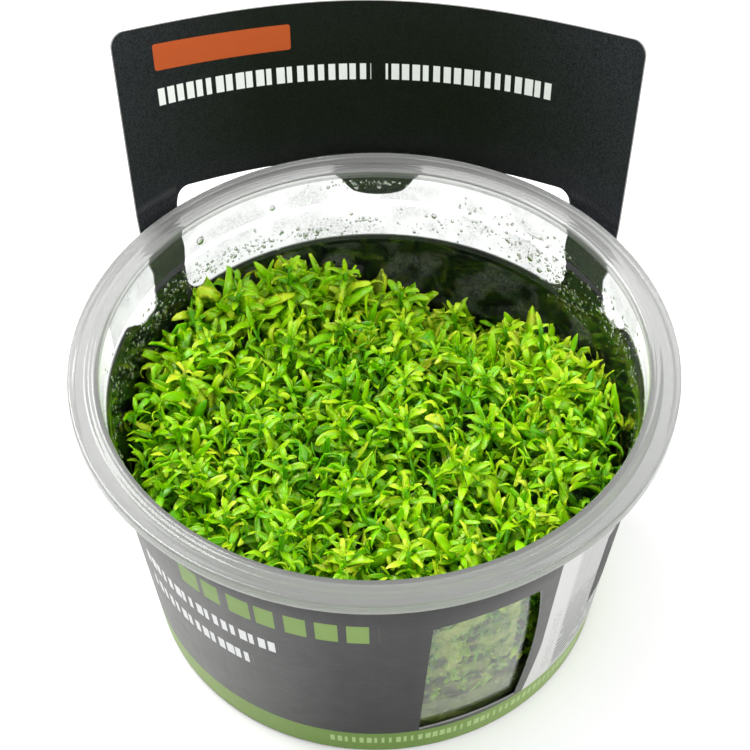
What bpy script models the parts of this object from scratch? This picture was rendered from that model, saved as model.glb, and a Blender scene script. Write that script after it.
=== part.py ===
"""Pearlweed growing in a clear round tub, with a printed card wrapped round it.

Lengths are in metres and +Z is up. The origin is the centre of the tub's flat
underside. The card's header stands at +Y, so the front of the tub faces -Y.
Run with: blender --background --python part.py
"""
import math
import random

import bmesh
import bpy
from mathutils import Vector
from mathutils.geometry import delaunay_2d_cdt

# Tub: a thin moulded pot with a wide flange
TUB_HEIGHT = 0.0576
RIM_RADIUS = 0.0506
LIP_DEPTH = 0.0021
LIP_THICKNESS = 0.0006
LIP_EDGE_ROUNDING = 0.0004
FLANGE_THICKNESS = 0.0007
FLANGE_RIDGE_HEIGHT = 0.00025
GROOVE_START = 0.0014
GROOVE_END = 0.0026
RIDGE_SLOPE_WIDTH = 0.0006
UNDERSIDE_RADIUS = 0.0391
HEEL_RADIUS = 0.0015
WALL_FOOT_RADIUS = 0.04055
WALL_TAPER = 0.08
WALL_THICKNESS = 0.0005
FLOOR_THICKNESS = 0.0007
FLOOR_CORNER_HEIGHT = 0.0022
FLOOR_CORNER_WIDTH = 0.0014
STEP_HEIGHT = 0.0500
STEP_SLOPE_HEIGHT = 0.0004
COLLAR_RADIUS = 0.0452
COLLAR_TAPER = 0.04
ROUND_STEPS = 60

# Card: one die-cut blank wrapped round the tub, its header folded up behind
CARD_THICKNESS = 0.00035
CARD_FOOT_RADIUS = 0.04103
CARD_TAPER = 0.10
TOUCHING_GAP = 0.0003
CARD_BOTTOM = 0.0004
BAND_TOP = 0.0492
PATTERN_RADIUS = 0.045
FOLD_HEIGHT = 0.0452
LIP_BEND_HEIGHT = 0.0553
LIP_BEND_RADIUS = 0.0514
CREASE_HEIGHT = 0.0577
NOTCH_FLOOR = 0.0454
NOTCH_WIDTH = 0.0102
LEG_LEFT_AT_FOLD = -0.0464
LEG_RIGHT_AT_FOLD = 0.0488
CREASE_LEFT = -0.0478
CREASE_RIGHT = 0.0507
HEADER_LEFT = -0.0474
HEADER_RIGHT = 0.0508
HEADER_MIDDLE_HEIGHT = 0.0894
HEADER_CORNER_RISE = 0.0057
EDGE_CURVE_POWER = 2.5
HEADER_CORNER_RADIUS = 0.0021
HEADER_SWEEP_LOW = 0.054
HEADER_SWEEP_HIGH = 0.060
HEADER_BACK_LOW = 0.0519
HEADER_BACK_HIGH = 0.0535
HEADER_ROLL = 0.020
HEADER_HALF_WIDTH = 0.049
SLOT_HALF_WIDTH = 0.0388
SLOT_SHIFT = 0.0003
SLOT_BOTTOM = 0.0420
SLOT_TOP_MIDDLE = 0.05535
SLOT_TOP_RISE = 0.0066
SLOT_BOTTOM_RADIUS = 0.004
SLOT_TOP_RADIUS = 0.0022
TONGUE_RADIUS = 0.0090
TONGUE_BOTTOM = 0.04755
TONGUE_SHIFT = 0.0009
TONGUE_ROOT_RADIUS = 0.002
WINDOW_BOTTOM = 0.0072
WINDOW_TOP = 0.0424
WINDOW_LEFT_ANGLE = math.radians(9.6)
WINDOW_RIGHT_ANGLE = math.radians(34.8)
WINDOW_LEFT_SLANT = math.radians(1.5)
WINDOW_RIGHT_BOW = 0.0016
WINDOW_TOP_BOW = 0.0009
WINDOW_BOTTOM_BOW = 0.0007
WINDOW_SIDE_STEPS = 6
CARD_COLUMN_STEP = math.radians(6.0)

# Growing medium: a set disc of clear jelly in the bottom of the tub
MEDIUM_HEIGHT = 0.0140
MENISCUS_RISE = 0.0008

# Plants: a dense mat of leafy stems, with single sprigs standing out of it
CANOPY_HEIGHT = 0.0425
DIP_DEPTH = 0.0125
DIP_AZIMUTH = math.radians(28.0)
DIP_START = 0.014
DIP_END = 0.040
DIP_WIDTH = 0.024
MAT_CELLS = 18
MAT_CLEARANCE = 0.0004
MAT_BELOW_TIPS = 0.0045
MAT_ROUGHNESS = 0.0009
TUFT_LENGTH = 0.0048
TUFT_LEAN = math.radians(26.0)
SPRIG_SPACING_CELLS = 3
SPRIG_HEIGHT = 0.0080
SPRIG_HEIGHT_SPREAD = 0.0014
SPRIG_LEAN = 0.0022
STEM_HALF_WIDTH = 0.0006
STEM_STATIONS = (0.0, 0.34, 0.56, 0.78, 1.0)
LEAF_LENGTH = 0.0048
LEAF_WIDTH = 0.0019
LEAF_THICKNESS = 0.0006
LEAF_RISE_LOW = math.radians(18.0)
LEAF_RISE_HIGH = math.radians(46.0)
LEAF_DROOP = 0.0009
TALL_SPRIG_REACH = 0.0065

# Where sprigs stand tallest: place, and how much taller they are there
TALL_SPRIGS = (
    (-0.0150, 0.0330, 0.0040),
    (-0.0260, 0.0310, 0.0030),
    (-0.0030, 0.0320, 0.0025),
    (0.0310, 0.0180, 0.0045),
    (-0.0120, -0.0310, 0.0030),
    (-0.0370, 0.0050, 0.0020),
)


def clear_scene():
    """Remove whatever the file opened with."""
    for thing in list(bpy.data.objects):
        bpy.data.objects.remove(thing, do_unlink=True)


def new_material(name, colour, roughness, alpha=1.0):
    """A Principled material in one plain colour."""
    material = bpy.data.materials.new(name)
    material.use_nodes = True
    shader = material.node_tree.nodes["Principled BSDF"]
    shader.inputs["Base Color"].default_value = (*colour, 1.0)
    shader.inputs["Roughness"].default_value = roughness
    shader.inputs["Metallic"].default_value = 0.0
    shader.inputs["Alpha"].default_value = alpha
    return material


def add_object(name, bm, material, smooth_angle=None):
    """Turn a bmesh into a named object with one material."""
    bmesh.ops.recalc_face_normals(bm, faces=bm.faces)
    mesh = bpy.data.meshes.new(name)
    bm.to_mesh(mesh)
    bm.free()
    mesh.materials.append(material)
    if smooth_angle is not None:
        mesh.shade_smooth()
        mesh.set_sharp_from_angle(angle=smooth_angle)
    thing = bpy.data.objects.new(name, mesh)
    bpy.context.scene.collection.objects.link(thing)
    return thing


def turned_solid(profile):
    """Spin a profile that starts and ends on the axis into a closed solid."""
    bm = bmesh.new()
    verts = [bm.verts.new((r, 0.0, z)) for r, z in profile]
    edges = [bm.edges.new(pair) for pair in zip(verts, verts[1:])]
    bmesh.ops.spin(bm, geom=verts + edges, cent=(0, 0, 0), axis=(0, 0, 1), dvec=(0, 0, 0),
                   angle=math.tau, steps=ROUND_STEPS, use_merge=True, use_duplicate=False)
    bmesh.ops.remove_doubles(bm, verts=bm.verts, dist=1e-6)
    return bm


def arc_points(centre, radius, start, end, steps):
    """Points along an arc, both ends included."""
    points = []
    for i in range(steps + 1):
        angle = start + (end - start) * i / steps
        points.append((centre[0] + radius * math.cos(angle), centre[1] + radius * math.sin(angle)))
    return points


def rounded_outline(corners, steps=4):
    """Replace each (u, v, radius) corner of a closed outline by an arc of that radius."""
    outline = []
    for i, (u, v, radius) in enumerate(corners):
        corner = Vector((u, v))
        if radius == 0.0:
            outline.append(corner)
            continue
        before = (Vector(corners[i - 1][:2]) - corner).normalized()
        after = (Vector(corners[(i + 1) % len(corners)][:2]) - corner).normalized()
        half_angle = before.angle(after) / 2
        centre = corner + (before + after).normalized() * radius / math.sin(half_angle)
        first = corner + before * radius / math.tan(half_angle) - centre
        last = corner + after * radius / math.tan(half_angle) - centre
        outline += [centre + radius * first.slerp(last, k / steps) for k in range(steps + 1)]
    return outline


def inside(point, outline):
    """Whether a point lies inside a closed outline."""
    found = False
    for a, b in zip(outline, outline[1:] + outline[:1]):
        if (a[1] > point[1]) != (b[1] > point[1]):
            if point[0] < (b[0] - a[0]) * (point[1] - a[1]) / (b[1] - a[1]) + a[0]:
                found = not found
    return found


def wall_outer_radius(z):
    """Outside of the tub's tapered wall."""
    return WALL_FOOT_RADIUS + WALL_TAPER * z


def wall_inner_radius(z):
    """Inside of the tub's tapered wall."""
    return wall_outer_radius(z) - WALL_THICKNESS


def collar_inner_radius(z):
    """Inside of the wider collar above the stacking step."""
    return COLLAR_RADIUS + COLLAR_TAPER * (z - STEP_HEIGHT)


# Tub

def tub_outside():
    """Profile from the middle of the underside up to the lip's outer edge."""
    heel_centre = (UNDERSIDE_RADIUS, HEEL_RADIUS)
    lip_bottom = TUB_HEIGHT - LIP_DEPTH
    flange_under = TUB_HEIGHT - FLANGE_RIDGE_HEIGHT - FLANGE_THICKNESS
    collar_outer = COLLAR_RADIUS + WALL_THICKNESS
    lip_inner = RIM_RADIUS - LIP_THICKNESS
    points = [(0.0, 0.0)]
    points += arc_points(heel_centre, HEEL_RADIUS, math.radians(-90), math.radians(-6), 3)
    points.append((wall_outer_radius(STEP_HEIGHT - 0.0007), STEP_HEIGHT - 0.0007))
    points.append((collar_outer, STEP_HEIGHT + 0.0002))
    points.append((collar_inner_radius(flange_under) + WALL_THICKNESS, flange_under - 0.0005))
    points.append((collar_inner_radius(flange_under) + 2 * WALL_THICKNESS, flange_under))
    points.append((lip_inner - 0.0003, flange_under))
    points.append((lip_inner, lip_bottom))
    points.append((RIM_RADIUS - 0.0001, lip_bottom))
    points.append((RIM_RADIUS, TUB_HEIGHT - LIP_EDGE_ROUNDING))
    return points


def tub_inside():
    """Profile from the crest of the rim down to the middle of the floor."""
    shelf = TUB_HEIGHT - FLANGE_RIDGE_HEIGHT
    inner_edge = collar_inner_radius(TUB_HEIGHT)
    step_inner = wall_inner_radius(STEP_HEIGHT)
    return [
        (RIM_RADIUS - LIP_EDGE_ROUNDING, TUB_HEIGHT),
        (RIM_RADIUS - GROOVE_START + RIDGE_SLOPE_WIDTH, TUB_HEIGHT),
        (RIM_RADIUS - GROOVE_START, shelf),
        (RIM_RADIUS - GROOVE_END, shelf),
        (RIM_RADIUS - GROOVE_END - RIDGE_SLOPE_WIDTH, TUB_HEIGHT),
        (inner_edge + LIP_EDGE_ROUNDING, TUB_HEIGHT),
        (inner_edge, TUB_HEIGHT - LIP_EDGE_ROUNDING),
        (COLLAR_RADIUS, STEP_HEIGHT + STEP_SLOPE_HEIGHT),
        (step_inner, STEP_HEIGHT - STEP_SLOPE_HEIGHT),
        (wall_inner_radius(FLOOR_CORNER_HEIGHT), FLOOR_CORNER_HEIGHT),
        (wall_inner_radius(0.0) - FLOOR_CORNER_WIDTH, FLOOR_THICKNESS),
        (0.0, FLOOR_THICKNESS),
    ]


def make_tub():
    """The whole pot is one moulding, so it is one turned solid."""
    material = new_material("clear_plastic", (0.90, 0.93, 0.92), 0.08, alpha=0.25)
    return add_object("tub", turned_solid(tub_outside() + tub_inside()), material, math.radians(30))


# Card

def card_radius(z):
    """Mid-surface of the band: close on the tub's foot and a little free of it above."""
    return CARD_FOOT_RADIUS + CARD_TAPER * z


def band_point(u, v):
    """A point of the flat pattern wrapped round the tapered wall."""
    angle = u / PATTERN_RADIUS
    radius = card_radius(v)
    return Vector((radius * math.sin(angle), radius * math.cos(angle), v))


def header_point(u, v):
    """A point of the flat pattern on the header, a flatter sweep that leans back."""
    along = (v - CREASE_HEIGHT) / (HEADER_MIDDLE_HEIGHT - CREASE_HEIGHT)
    sweep = HEADER_SWEEP_LOW + (HEADER_SWEEP_HIGH - HEADER_SWEEP_LOW) * along
    back = HEADER_BACK_LOW + (HEADER_BACK_HIGH - HEADER_BACK_LOW) * along
    angle = u / sweep
    return Vector((sweep * math.sin(angle), back - sweep * (1 - math.cos(angle)), v - HEADER_ROLL * u))


def leg_point(u, v):
    """A point of a leg: out from the wall to the flange's lip, then up to the crease."""
    fold = band_point(u, FOLD_HEIGHT)
    crease = header_point(u, CREASE_HEIGHT)
    bend = fold.lerp(crease, (LIP_BEND_HEIGHT - FOLD_HEIGHT) / (CREASE_HEIGHT - FOLD_HEIGHT))
    bend.xy *= max(LIP_BEND_RADIUS / bend.xy.length, 1.0)
    if v < LIP_BEND_HEIGHT:
        return fold.lerp(bend, (v - FOLD_HEIGHT) / (LIP_BEND_HEIGHT - FOLD_HEIGHT))
    return bend.lerp(crease, (v - LIP_BEND_HEIGHT) / (CREASE_HEIGHT - LIP_BEND_HEIGHT))


def card_point(u, v):
    """Fold the flat pattern: u runs round from the back, v runs up."""
    on_legs = LEG_LEFT_AT_FOLD - NOTCH_WIDTH / 3 < u < LEG_RIGHT_AT_FOLD + NOTCH_WIDTH / 3
    in_slot = abs(u - SLOT_SHIFT) < SLOT_HALF_WIDTH - 1e-6 and v > SLOT_BOTTOM + SLOT_BOTTOM_RADIUS
    if v <= FOLD_HEIGHT or not on_legs:
        return band_point(u, v)
    if v >= CREASE_HEIGHT or in_slot:
        return header_point(u, v)
    return leg_point(u, v)


def climbing_edge(middle, rise, u):
    """Height of an edge that climbs from the middle of the header to its sides."""
    return middle + rise * abs(u / HEADER_HALF_WIDTH) ** EDGE_CURVE_POWER


def card_outline():
    """Outer edge of the blank, from the band's foot up over the header."""
    half_turn = math.pi * PATTERN_RADIUS
    header_samples = [HEADER_LEFT + (HEADER_RIGHT - HEADER_LEFT) * k / 12 for k in range(13)]
    top = [(u, climbing_edge(HEADER_MIDDLE_HEIGHT, HEADER_CORNER_RISE, u)) for u in reversed(header_samples)]
    corners = [(-half_turn, CARD_BOTTOM, 0.0), (half_turn, CARD_BOTTOM, 0.0), (half_turn, BAND_TOP, 0.0)]
    corners += [
        (LEG_RIGHT_AT_FOLD + NOTCH_WIDTH, BAND_TOP, 0.003),
        (LEG_RIGHT_AT_FOLD + NOTCH_WIDTH / 2, NOTCH_FLOOR, 0.003),
        (LEG_RIGHT_AT_FOLD, NOTCH_FLOOR, 0.0015),
        (CREASE_RIGHT, CREASE_HEIGHT, 0.0),
    ]
    corners += [(u, v, HEADER_CORNER_RADIUS if i in (0, 12) else 0.0) for i, (u, v) in enumerate(top)]
    corners += [
        (CREASE_LEFT, CREASE_HEIGHT, 0.0),
        (LEG_LEFT_AT_FOLD, NOTCH_FLOOR, 0.0015),
        (LEG_LEFT_AT_FOLD - NOTCH_WIDTH / 2, NOTCH_FLOOR, 0.003),
        (LEG_LEFT_AT_FOLD - NOTCH_WIDTH, BAND_TOP, 0.003),
        (-half_turn, BAND_TOP, 0.0),
    ]
    return rounded_outline(corners)


def slot_outline():
    """The hole that the flange passes through, with a round tongue hanging into it."""
    tongue_centre = (TONGUE_SHIFT, TONGUE_BOTTOM + TONGUE_RADIUS)
    half_sweep = math.acos((tongue_centre[1] - SLOT_TOP_MIDDLE) / TONGUE_RADIUS)
    down = -math.pi / 2
    tongue = arc_points(tongue_centre, TONGUE_RADIUS, down + half_sweep, down - half_sweep, 10)
    left, right = SLOT_SHIFT - SLOT_HALF_WIDTH, SLOT_SHIFT + SLOT_HALF_WIDTH
    corners = [
        (left, SLOT_BOTTOM, SLOT_BOTTOM_RADIUS),
        (right, SLOT_BOTTOM, SLOT_BOTTOM_RADIUS),
        (right, climbing_edge(SLOT_TOP_MIDDLE, SLOT_TOP_RISE, right), SLOT_TOP_RADIUS),
    ]
    for u in (0.034, 0.028, 0.021, 0.015):
        corners.append((u, climbing_edge(SLOT_TOP_MIDDLE, SLOT_TOP_RISE, u), 0.0))
    for i, (u, v) in enumerate(tongue):
        corners.append((u, v, TONGUE_ROOT_RADIUS if i in (0, 10) else 0.0))
    for u in (-0.015, -0.021, -0.028, -0.034):
        corners.append((u, climbing_edge(SLOT_TOP_MIDDLE, SLOT_TOP_RISE, u), 0.0))
    corners.append((left, climbing_edge(SLOT_TOP_MIDDLE, SLOT_TOP_RISE, left), SLOT_TOP_RADIUS))
    return rounded_outline(corners)


def bowed_side(start, end, bow):
    """Points of a window side from its first corner on, bowed out in the middle by (u, v)."""
    points = []
    for i in range(WINDOW_SIDE_STEPS):
        share = i / WINDOW_SIDE_STEPS
        swell = 4 * share * (1 - share)
        points.append(Vector(start).lerp(Vector(end), share) + swell * Vector(bow))
    return points


def window_outline():
    """The window in the front of the band: a slanted left side and three sides with a slight bow."""
    def corner(angle_from_front, v):
        return ((math.pi - angle_from_front) * PATTERN_RADIUS, v)
    low_right = corner(WINDOW_RIGHT_ANGLE, WINDOW_BOTTOM)
    low_left = corner(WINDOW_LEFT_ANGLE, WINDOW_BOTTOM)
    high_left = corner(WINDOW_LEFT_ANGLE + WINDOW_LEFT_SLANT, WINDOW_TOP)
    high_right = corner(WINDOW_RIGHT_ANGLE, WINDOW_TOP)
    outline = bowed_side(low_right, low_left, (0.0, WINDOW_BOTTOM_BOW))
    outline += [Vector(low_left)]
    outline += bowed_side(high_left, high_right, (0.0, WINDOW_TOP_BOW))
    outline += bowed_side(high_right, low_right, (-WINDOW_RIGHT_BOW, 0.0))
    return outline


def make_card():
    """Cut the flat pattern, fold it round the tub and give it its thickness."""
    outer = card_outline()
    holes = [slot_outline(), window_outline()]
    points = []
    edges = []
    for outline in [outer] + holes:
        first = len(points)
        points += [Vector(p) for p in outline]
        edges += [(first + i, first + (i + 1) % len(outline)) for i in range(len(outline))]
    columns = round(math.tau / CARD_COLUMN_STEP)
    top = HEADER_MIDDLE_HEIGHT + 2 * HEADER_CORNER_RISE
    rules = [(i - columns / 2) * CARD_COLUMN_STEP * PATTERN_RADIUS for i in range(1, columns)]
    lines = [((u, CARD_BOTTOM), (u, top)) for u in rules]
    for v in (FOLD_HEIGHT, LIP_BEND_HEIGHT, CREASE_HEIGHT):
        lines.append(((1.1 * HEADER_LEFT, v), (1.1 * HEADER_RIGHT, v)))
    for start, end in lines:
        edges.append((len(points), len(points) + 1))
        points += [Vector(start), Vector(end)]
    verts, _, faces, *_ = delaunay_2d_cdt(points, edges, [], 0, 1e-7)
    bm = bmesh.new()
    placed = [bm.verts.new(card_point(p.x, p.y)) for p in verts]
    for face in faces:
        middle = sum((verts[i] for i in face), Vector((0, 0))) / len(face)
        if inside(middle, outer) and not any(inside(middle, hole) for hole in holes):
            bm.faces.new([placed[i] for i in face])
    bmesh.ops.delete(bm, geom=[v for v in bm.verts if not v.link_faces], context="VERTS")
    bmesh.ops.remove_doubles(bm, verts=bm.verts, dist=1e-6)
    material = new_material("printed_card", (0.035, 0.037, 0.037), 0.55)
    card = add_object("label_card", bm, material)
    solidify = card.modifiers.new("card_thickness", "SOLIDIFY")
    solidify.thickness = CARD_THICKNESS
    solidify.offset = 0.0
    return card


# Growing medium

def make_medium():
    """The jelly fills the tub from wall to wall and creeps up it at the edge."""
    floor = FLOOR_THICKNESS + TOUCHING_GAP
    edge = wall_inner_radius(MEDIUM_HEIGHT) - TOUCHING_GAP
    profile = [
        (0.0, floor),
        (wall_inner_radius(0.0) - 0.0014 - TOUCHING_GAP, floor),
        (wall_inner_radius(0.0022) - TOUCHING_GAP, 0.0026),
        (edge, MEDIUM_HEIGHT),
        (edge - 3 * MENISCUS_RISE, MEDIUM_HEIGHT - MENISCUS_RISE),
        (0.0, MEDIUM_HEIGHT - MENISCUS_RISE),
    ]
    material = new_material("clear_jelly", (0.62, 0.68, 0.50), 0.15, alpha=0.5)
    return add_object("growing_medium", turned_solid(profile), material, math.radians(30))


# Plants

def canopy_height(x, y):
    """Height of the leaf tips: level in front, falling away at the back on the right."""
    along = x * math.sin(DIP_AZIMUTH) + y * math.cos(DIP_AZIMUTH)
    across = x * math.cos(DIP_AZIMUTH) - y * math.sin(DIP_AZIMUTH)
    reach = min(max((along - DIP_START) / (DIP_END - DIP_START), 0.0), 1.0)
    fall = reach * reach * (3 - 2 * reach)
    return CANOPY_HEIGHT - DIP_DEPTH * fall * math.exp(-(across / DIP_WIDTH) ** 2)


def square_to_disc(a, b, radius):
    """Spread the square from -1 to 1 evenly over a disc."""
    if a == 0 and b == 0:
        return 0.0, 0.0
    if abs(a) > abs(b):
        reach, angle = a, math.pi / 4 * b / a
    else:
        reach, angle = b, math.pi / 2 - math.pi / 4 * a / b
    return radius * reach * math.cos(angle), radius * reach * math.sin(angle)


def grow_leaf(bm, face, direction, length, width, thickness, droop):
    """Draw one face out into a flat leaf that is widest halfway and ends in a point."""
    base = face.calc_center_median()
    side = direction.cross(Vector((0, 0, 1)))
    if side.length < 1e-3:
        side = Vector((1, 0, 0))
    side.normalize()
    upper = side.cross(direction).normalized()
    grown = bmesh.ops.extrude_face_region(bm, geom=[face])
    bmesh.ops.delete(bm, geom=[face], context="FACES_ONLY")
    tip_face = [item for item in grown["geom"] if isinstance(item, bmesh.types.BMFace)][0]
    middle = base + direction * length * 0.5
    def turn_about_direction(vert):
        offset = vert.co - base
        return math.atan2(offset.dot(upper), offset.dot(side)) % math.tau
    ordered = sorted(tip_face.verts, key=turn_about_direction)
    for vert, (across, over) in zip(ordered, ((1, 1), (-1, 1), (-1, -1), (1, -1))):
        vert.co = middle + side * across * width / 2 + upper * over * thickness / 2
    tip = bmesh.ops.poke(bm, faces=[tip_face])["verts"][0]
    tip.co = base + direction * length - Vector((0, 0, droop))


def is_sprig_cell(i, j):
    """Sprigs stand on every third cell each way."""
    return i % SPRIG_SPACING_CELLS == 1 and j % SPRIG_SPACING_CELLS == 1


def is_tuft_cell(i, j):
    """Two tufts fill the room between four sprigs."""
    return i % SPRIG_SPACING_CELLS == j % SPRIG_SPACING_CELLS and i % SPRIG_SPACING_CELLS != 1


def make_mat():
    """The mass of stems and small leaves, one solid from the jelly up to the leaf tips."""
    rng = random.Random(21)
    radius = wall_inner_radius(MEDIUM_HEIGHT) - MAT_CLEARANCE
    count = MAT_CELLS + 1
    bm = bmesh.new()
    grid = {}
    for j in range(count):
        for i in range(count):
            x, y = square_to_disc(2 * i / MAT_CELLS - 1, 2 * j / MAT_CELLS - 1, radius)
            z = canopy_height(x, y) - MAT_BELOW_TIPS + rng.uniform(-1, 1) * MAT_ROUGHNESS
            grid[i, j] = bm.verts.new((x, y, z))
    seats = []
    cells = {}
    for j in range(MAT_CELLS):
        for i in range(MAT_CELLS):
            corners = [grid[i, j], grid[i + 1, j], grid[i + 1, j + 1], grid[i, j + 1]]
            if is_sprig_cell(i, j):
                level = sum(v.co.z for v in corners) / 4
                for vert in corners:
                    vert.co.z = level
                seats.append(sum((v.co for v in corners), Vector()) / 4)
            cells[i, j] = bm.faces.new(corners)
    rim = [e for e in bm.edges if e.is_boundary]
    skirt = bmesh.ops.extrude_edge_only(bm, edges=rim)["geom"]
    foot = [item for item in skirt if isinstance(item, bmesh.types.BMVert)]
    for vert in foot:
        vert.co.z = MEDIUM_HEIGHT + TOUCHING_GAP
    foot_edges = [item for item in skirt if isinstance(item, bmesh.types.BMEdge) and item.is_boundary]
    bmesh.ops.contextual_create(bm, geom=foot_edges)
    for (i, j), face in cells.items():
        if is_tuft_cell(i, j):
            turn = rng.uniform(0, math.tau)
            lean = rng.uniform(0.3, 1.0) * TUFT_LEAN
            inward = -face.calc_center_median()
            inward.z = 0
            direction = Vector((math.cos(turn), math.sin(turn), 0)) * math.sin(lean)
            direction.z = math.cos(lean)
            if direction.dot(inward) < 0:
                direction.x, direction.y = -direction.x, -direction.y
            length = TUFT_LENGTH * rng.uniform(0.85, 1.15)
            grow_leaf(bm, face, direction, length, LEAF_WIDTH * 1.2, LEAF_THICKNESS * 1.5, 0.0)
    material = new_material("leafy_mat", (0.16, 0.36, 0.03), 0.45)
    add_object("plant_mat", bm, material)
    return seats


def extra_height(x, y):
    """How much taller the sprig at this place stands than the others."""
    near = [extra for px, py, extra in TALL_SPRIGS if math.hypot(px - x, py - y) < TALL_SPRIG_REACH]
    return max(near, default=0.0)


def make_sprig(name, seat, rng, material):
    """A square stem with opposite leaves, each pair set crosswise to the one below."""
    height = SPRIG_HEIGHT + rng.uniform(-1, 1) * SPRIG_HEIGHT_SPREAD + extra_height(seat.x, seat.y)
    turn = rng.uniform(0, math.tau)
    inward = Vector((-seat.x, -seat.y, 0)) / 0.040
    lean = (Vector((math.cos(turn), math.sin(turn), 0)) * 0.5 + inward * 0.8) * SPRIG_LEAN
    foot = seat + Vector((0, 0, TOUCHING_GAP))
    bm = bmesh.new()
    rings = []
    for t in STEM_STATIONS:
        centre = foot + Vector((0, 0, height * t)) + lean * t * t
        half = STEM_HALF_WIDTH * (1 - 0.35 * t)
        ring = []
        for k in range(4):
            angle = turn + k * math.pi / 2
            ring.append(bm.verts.new(centre + Vector((math.cos(angle) * half, math.sin(angle) * half, 0))))
        rings.append(ring)
    bm.faces.new(list(reversed(rings[0])))
    bm.faces.new(rings[-1])
    sides = {}
    for level, (lower, upper) in enumerate(zip(rings, rings[1:])):
        for k in range(4):
            n = (k + 1) % 4
            sides[level, k] = bm.faces.new((lower[k], lower[n], upper[n], upper[k]))
    for level in (1, 2, 3):
        rise = LEAF_RISE_LOW + (LEAF_RISE_HIGH - LEAF_RISE_LOW) * (level - 1) / 2
        for k in (level % 2, level % 2 + 2):
            angle = turn + (k + 0.5) * math.pi / 2
            slope = rise + rng.uniform(-0.12, 0.12)
            direction = Vector((math.cos(angle) * math.cos(slope), math.sin(angle) * math.cos(slope),
                                math.sin(slope)))
            length = LEAF_LENGTH * rng.uniform(0.85, 1.1)
            grow_leaf(bm, sides[level, k], direction, length, LEAF_WIDTH, LEAF_THICKNESS, LEAF_DROOP)
    return add_object(name, bm, material)


def make_plants():
    """The mat first, then one sprig on each of its seats."""
    seats = make_mat()
    material = new_material("young_leaf", (0.36, 0.60, 0.06), 0.4)
    rng = random.Random(7)
    for number, seat in enumerate(seats, start=1):
        make_sprig(f"sprig_{number:02d}", seat, rng, material)


clear_scene()
make_tub()
make_card()
make_medium()
make_plants()
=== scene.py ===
"""Pearlweed growing in a clear round tub with a printed card round it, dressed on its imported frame.

Lengths are in metres and +Z is up. The front of the tub faces -Y and the card's header stands at +Y.
"""
import random
from math import acos, atan2, copysign, cos, hypot, pi, radians, sin, sqrt, tan, tau

import bpy
import numpy as np
from mathutils import Matrix, Vector
from mathutils.geometry import delaunay_2d_cdt


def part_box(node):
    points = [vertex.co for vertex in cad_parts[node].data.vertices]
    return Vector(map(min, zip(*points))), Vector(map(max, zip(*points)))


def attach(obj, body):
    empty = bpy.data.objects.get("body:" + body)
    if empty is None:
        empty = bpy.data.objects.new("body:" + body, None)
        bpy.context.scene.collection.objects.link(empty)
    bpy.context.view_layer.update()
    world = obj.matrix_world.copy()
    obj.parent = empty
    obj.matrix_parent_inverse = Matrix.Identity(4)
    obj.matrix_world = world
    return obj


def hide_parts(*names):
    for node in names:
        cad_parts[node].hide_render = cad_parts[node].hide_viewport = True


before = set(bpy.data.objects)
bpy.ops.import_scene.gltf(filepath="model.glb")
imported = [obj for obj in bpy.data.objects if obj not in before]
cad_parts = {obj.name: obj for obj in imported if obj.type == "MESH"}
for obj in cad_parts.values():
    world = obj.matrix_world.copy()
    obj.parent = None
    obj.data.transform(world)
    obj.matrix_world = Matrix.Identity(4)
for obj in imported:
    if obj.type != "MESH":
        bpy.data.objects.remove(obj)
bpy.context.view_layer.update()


# Tub
# The pot is one thin moulding in clear stiff plastic: a tapered wall, a stacking step,
# a wider collar and a flat flange with fine ridges that ends in a turned-down lip.

TUB_HEIGHT = 0.0576
RIM_RADIUS = 0.0506
WALL_FOOT_RADIUS = 0.04055
WALL_TAPER = 0.08
WALL_THICKNESS = 0.0005
FLOOR_THICKNESS = 0.0007
FLARE_START = 0.0460
FLARE = 0.0006
STEP_HEIGHT = 0.0500
COLLAR_RADIUS = 0.0452
COLLAR_TAPER = 0.04
LIP_RADIUS = 0.0004
FLANGE_START_RADIUS = COLLAR_RADIUS + 0.0004
FLANGE_START_HEIGHT = 0.0550
TUB_STEPS = 240
PLASTIC_IOR = 1.47
# pairs of radius and height, the collar's counted from its own radius
COLLAR_OUTSIDE = ((-0.0002, 0.0500), (0.0, 0.0504), (0.0002, 0.0556), (0.0006, 0.0565), (0.0014, 0.05665))
COLLAR_INSIDE = ((0.0001, 0.0530), (0.00002, 0.0507), (-0.0001, 0.0503), (-0.0004, 0.0500))
UNDER_FLANGE = ((0.0494, 0.05665), (0.0499, 0.0564), (0.0500, 0.0560), (0.0501, 0.0555), (0.0505, 0.0555))
# radius and depth of each ridge and groove, and the share of the depth that is moulded
RIDGES = (
    (0.0497, 0.0), (0.0494, 0.00015), (0.0491, 0.0003), (0.0488, 0.00022), (0.0485, 0.0003),
    (0.0482, 0.0005), (0.0478, 0.0005), (0.0475, 0.0003), (0.0472, 0.00005), (0.0468, 0.0),
    (0.0466, 0.0001), (0.0464, 0.0), (0.0460, 0.00005), (0.0457, 0.0003), (0.04552, 0.0007),
)
RIDGE_SHARE = 0.7


def wall_outer_radius(z):
    """Outside of the tub's tapered wall, which flares a little under the stacking step."""
    flare = max(z - FLARE_START, 0.0) / (STEP_HEIGHT - FLARE_START)
    return WALL_FOOT_RADIUS + WALL_TAPER * z + FLARE * flare * flare


def wall_inner_radius(z):
    """Inside of the tapered wall, or of the collar above the stacking step."""
    if z > STEP_HEIGHT:
        return COLLAR_RADIUS + COLLAR_TAPER * (z - STEP_HEIGHT)
    return wall_outer_radius(z) - WALL_THICKNESS


def arc_points(centre, radius, start, end, steps):
    """Points along an arc, both ends included."""
    points = []
    for i in range(steps + 1):
        angle = start + (end - start) * i / steps
        points.append((centre[0] + radius * cos(angle), centre[1] + radius * sin(angle)))
    return points


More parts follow.
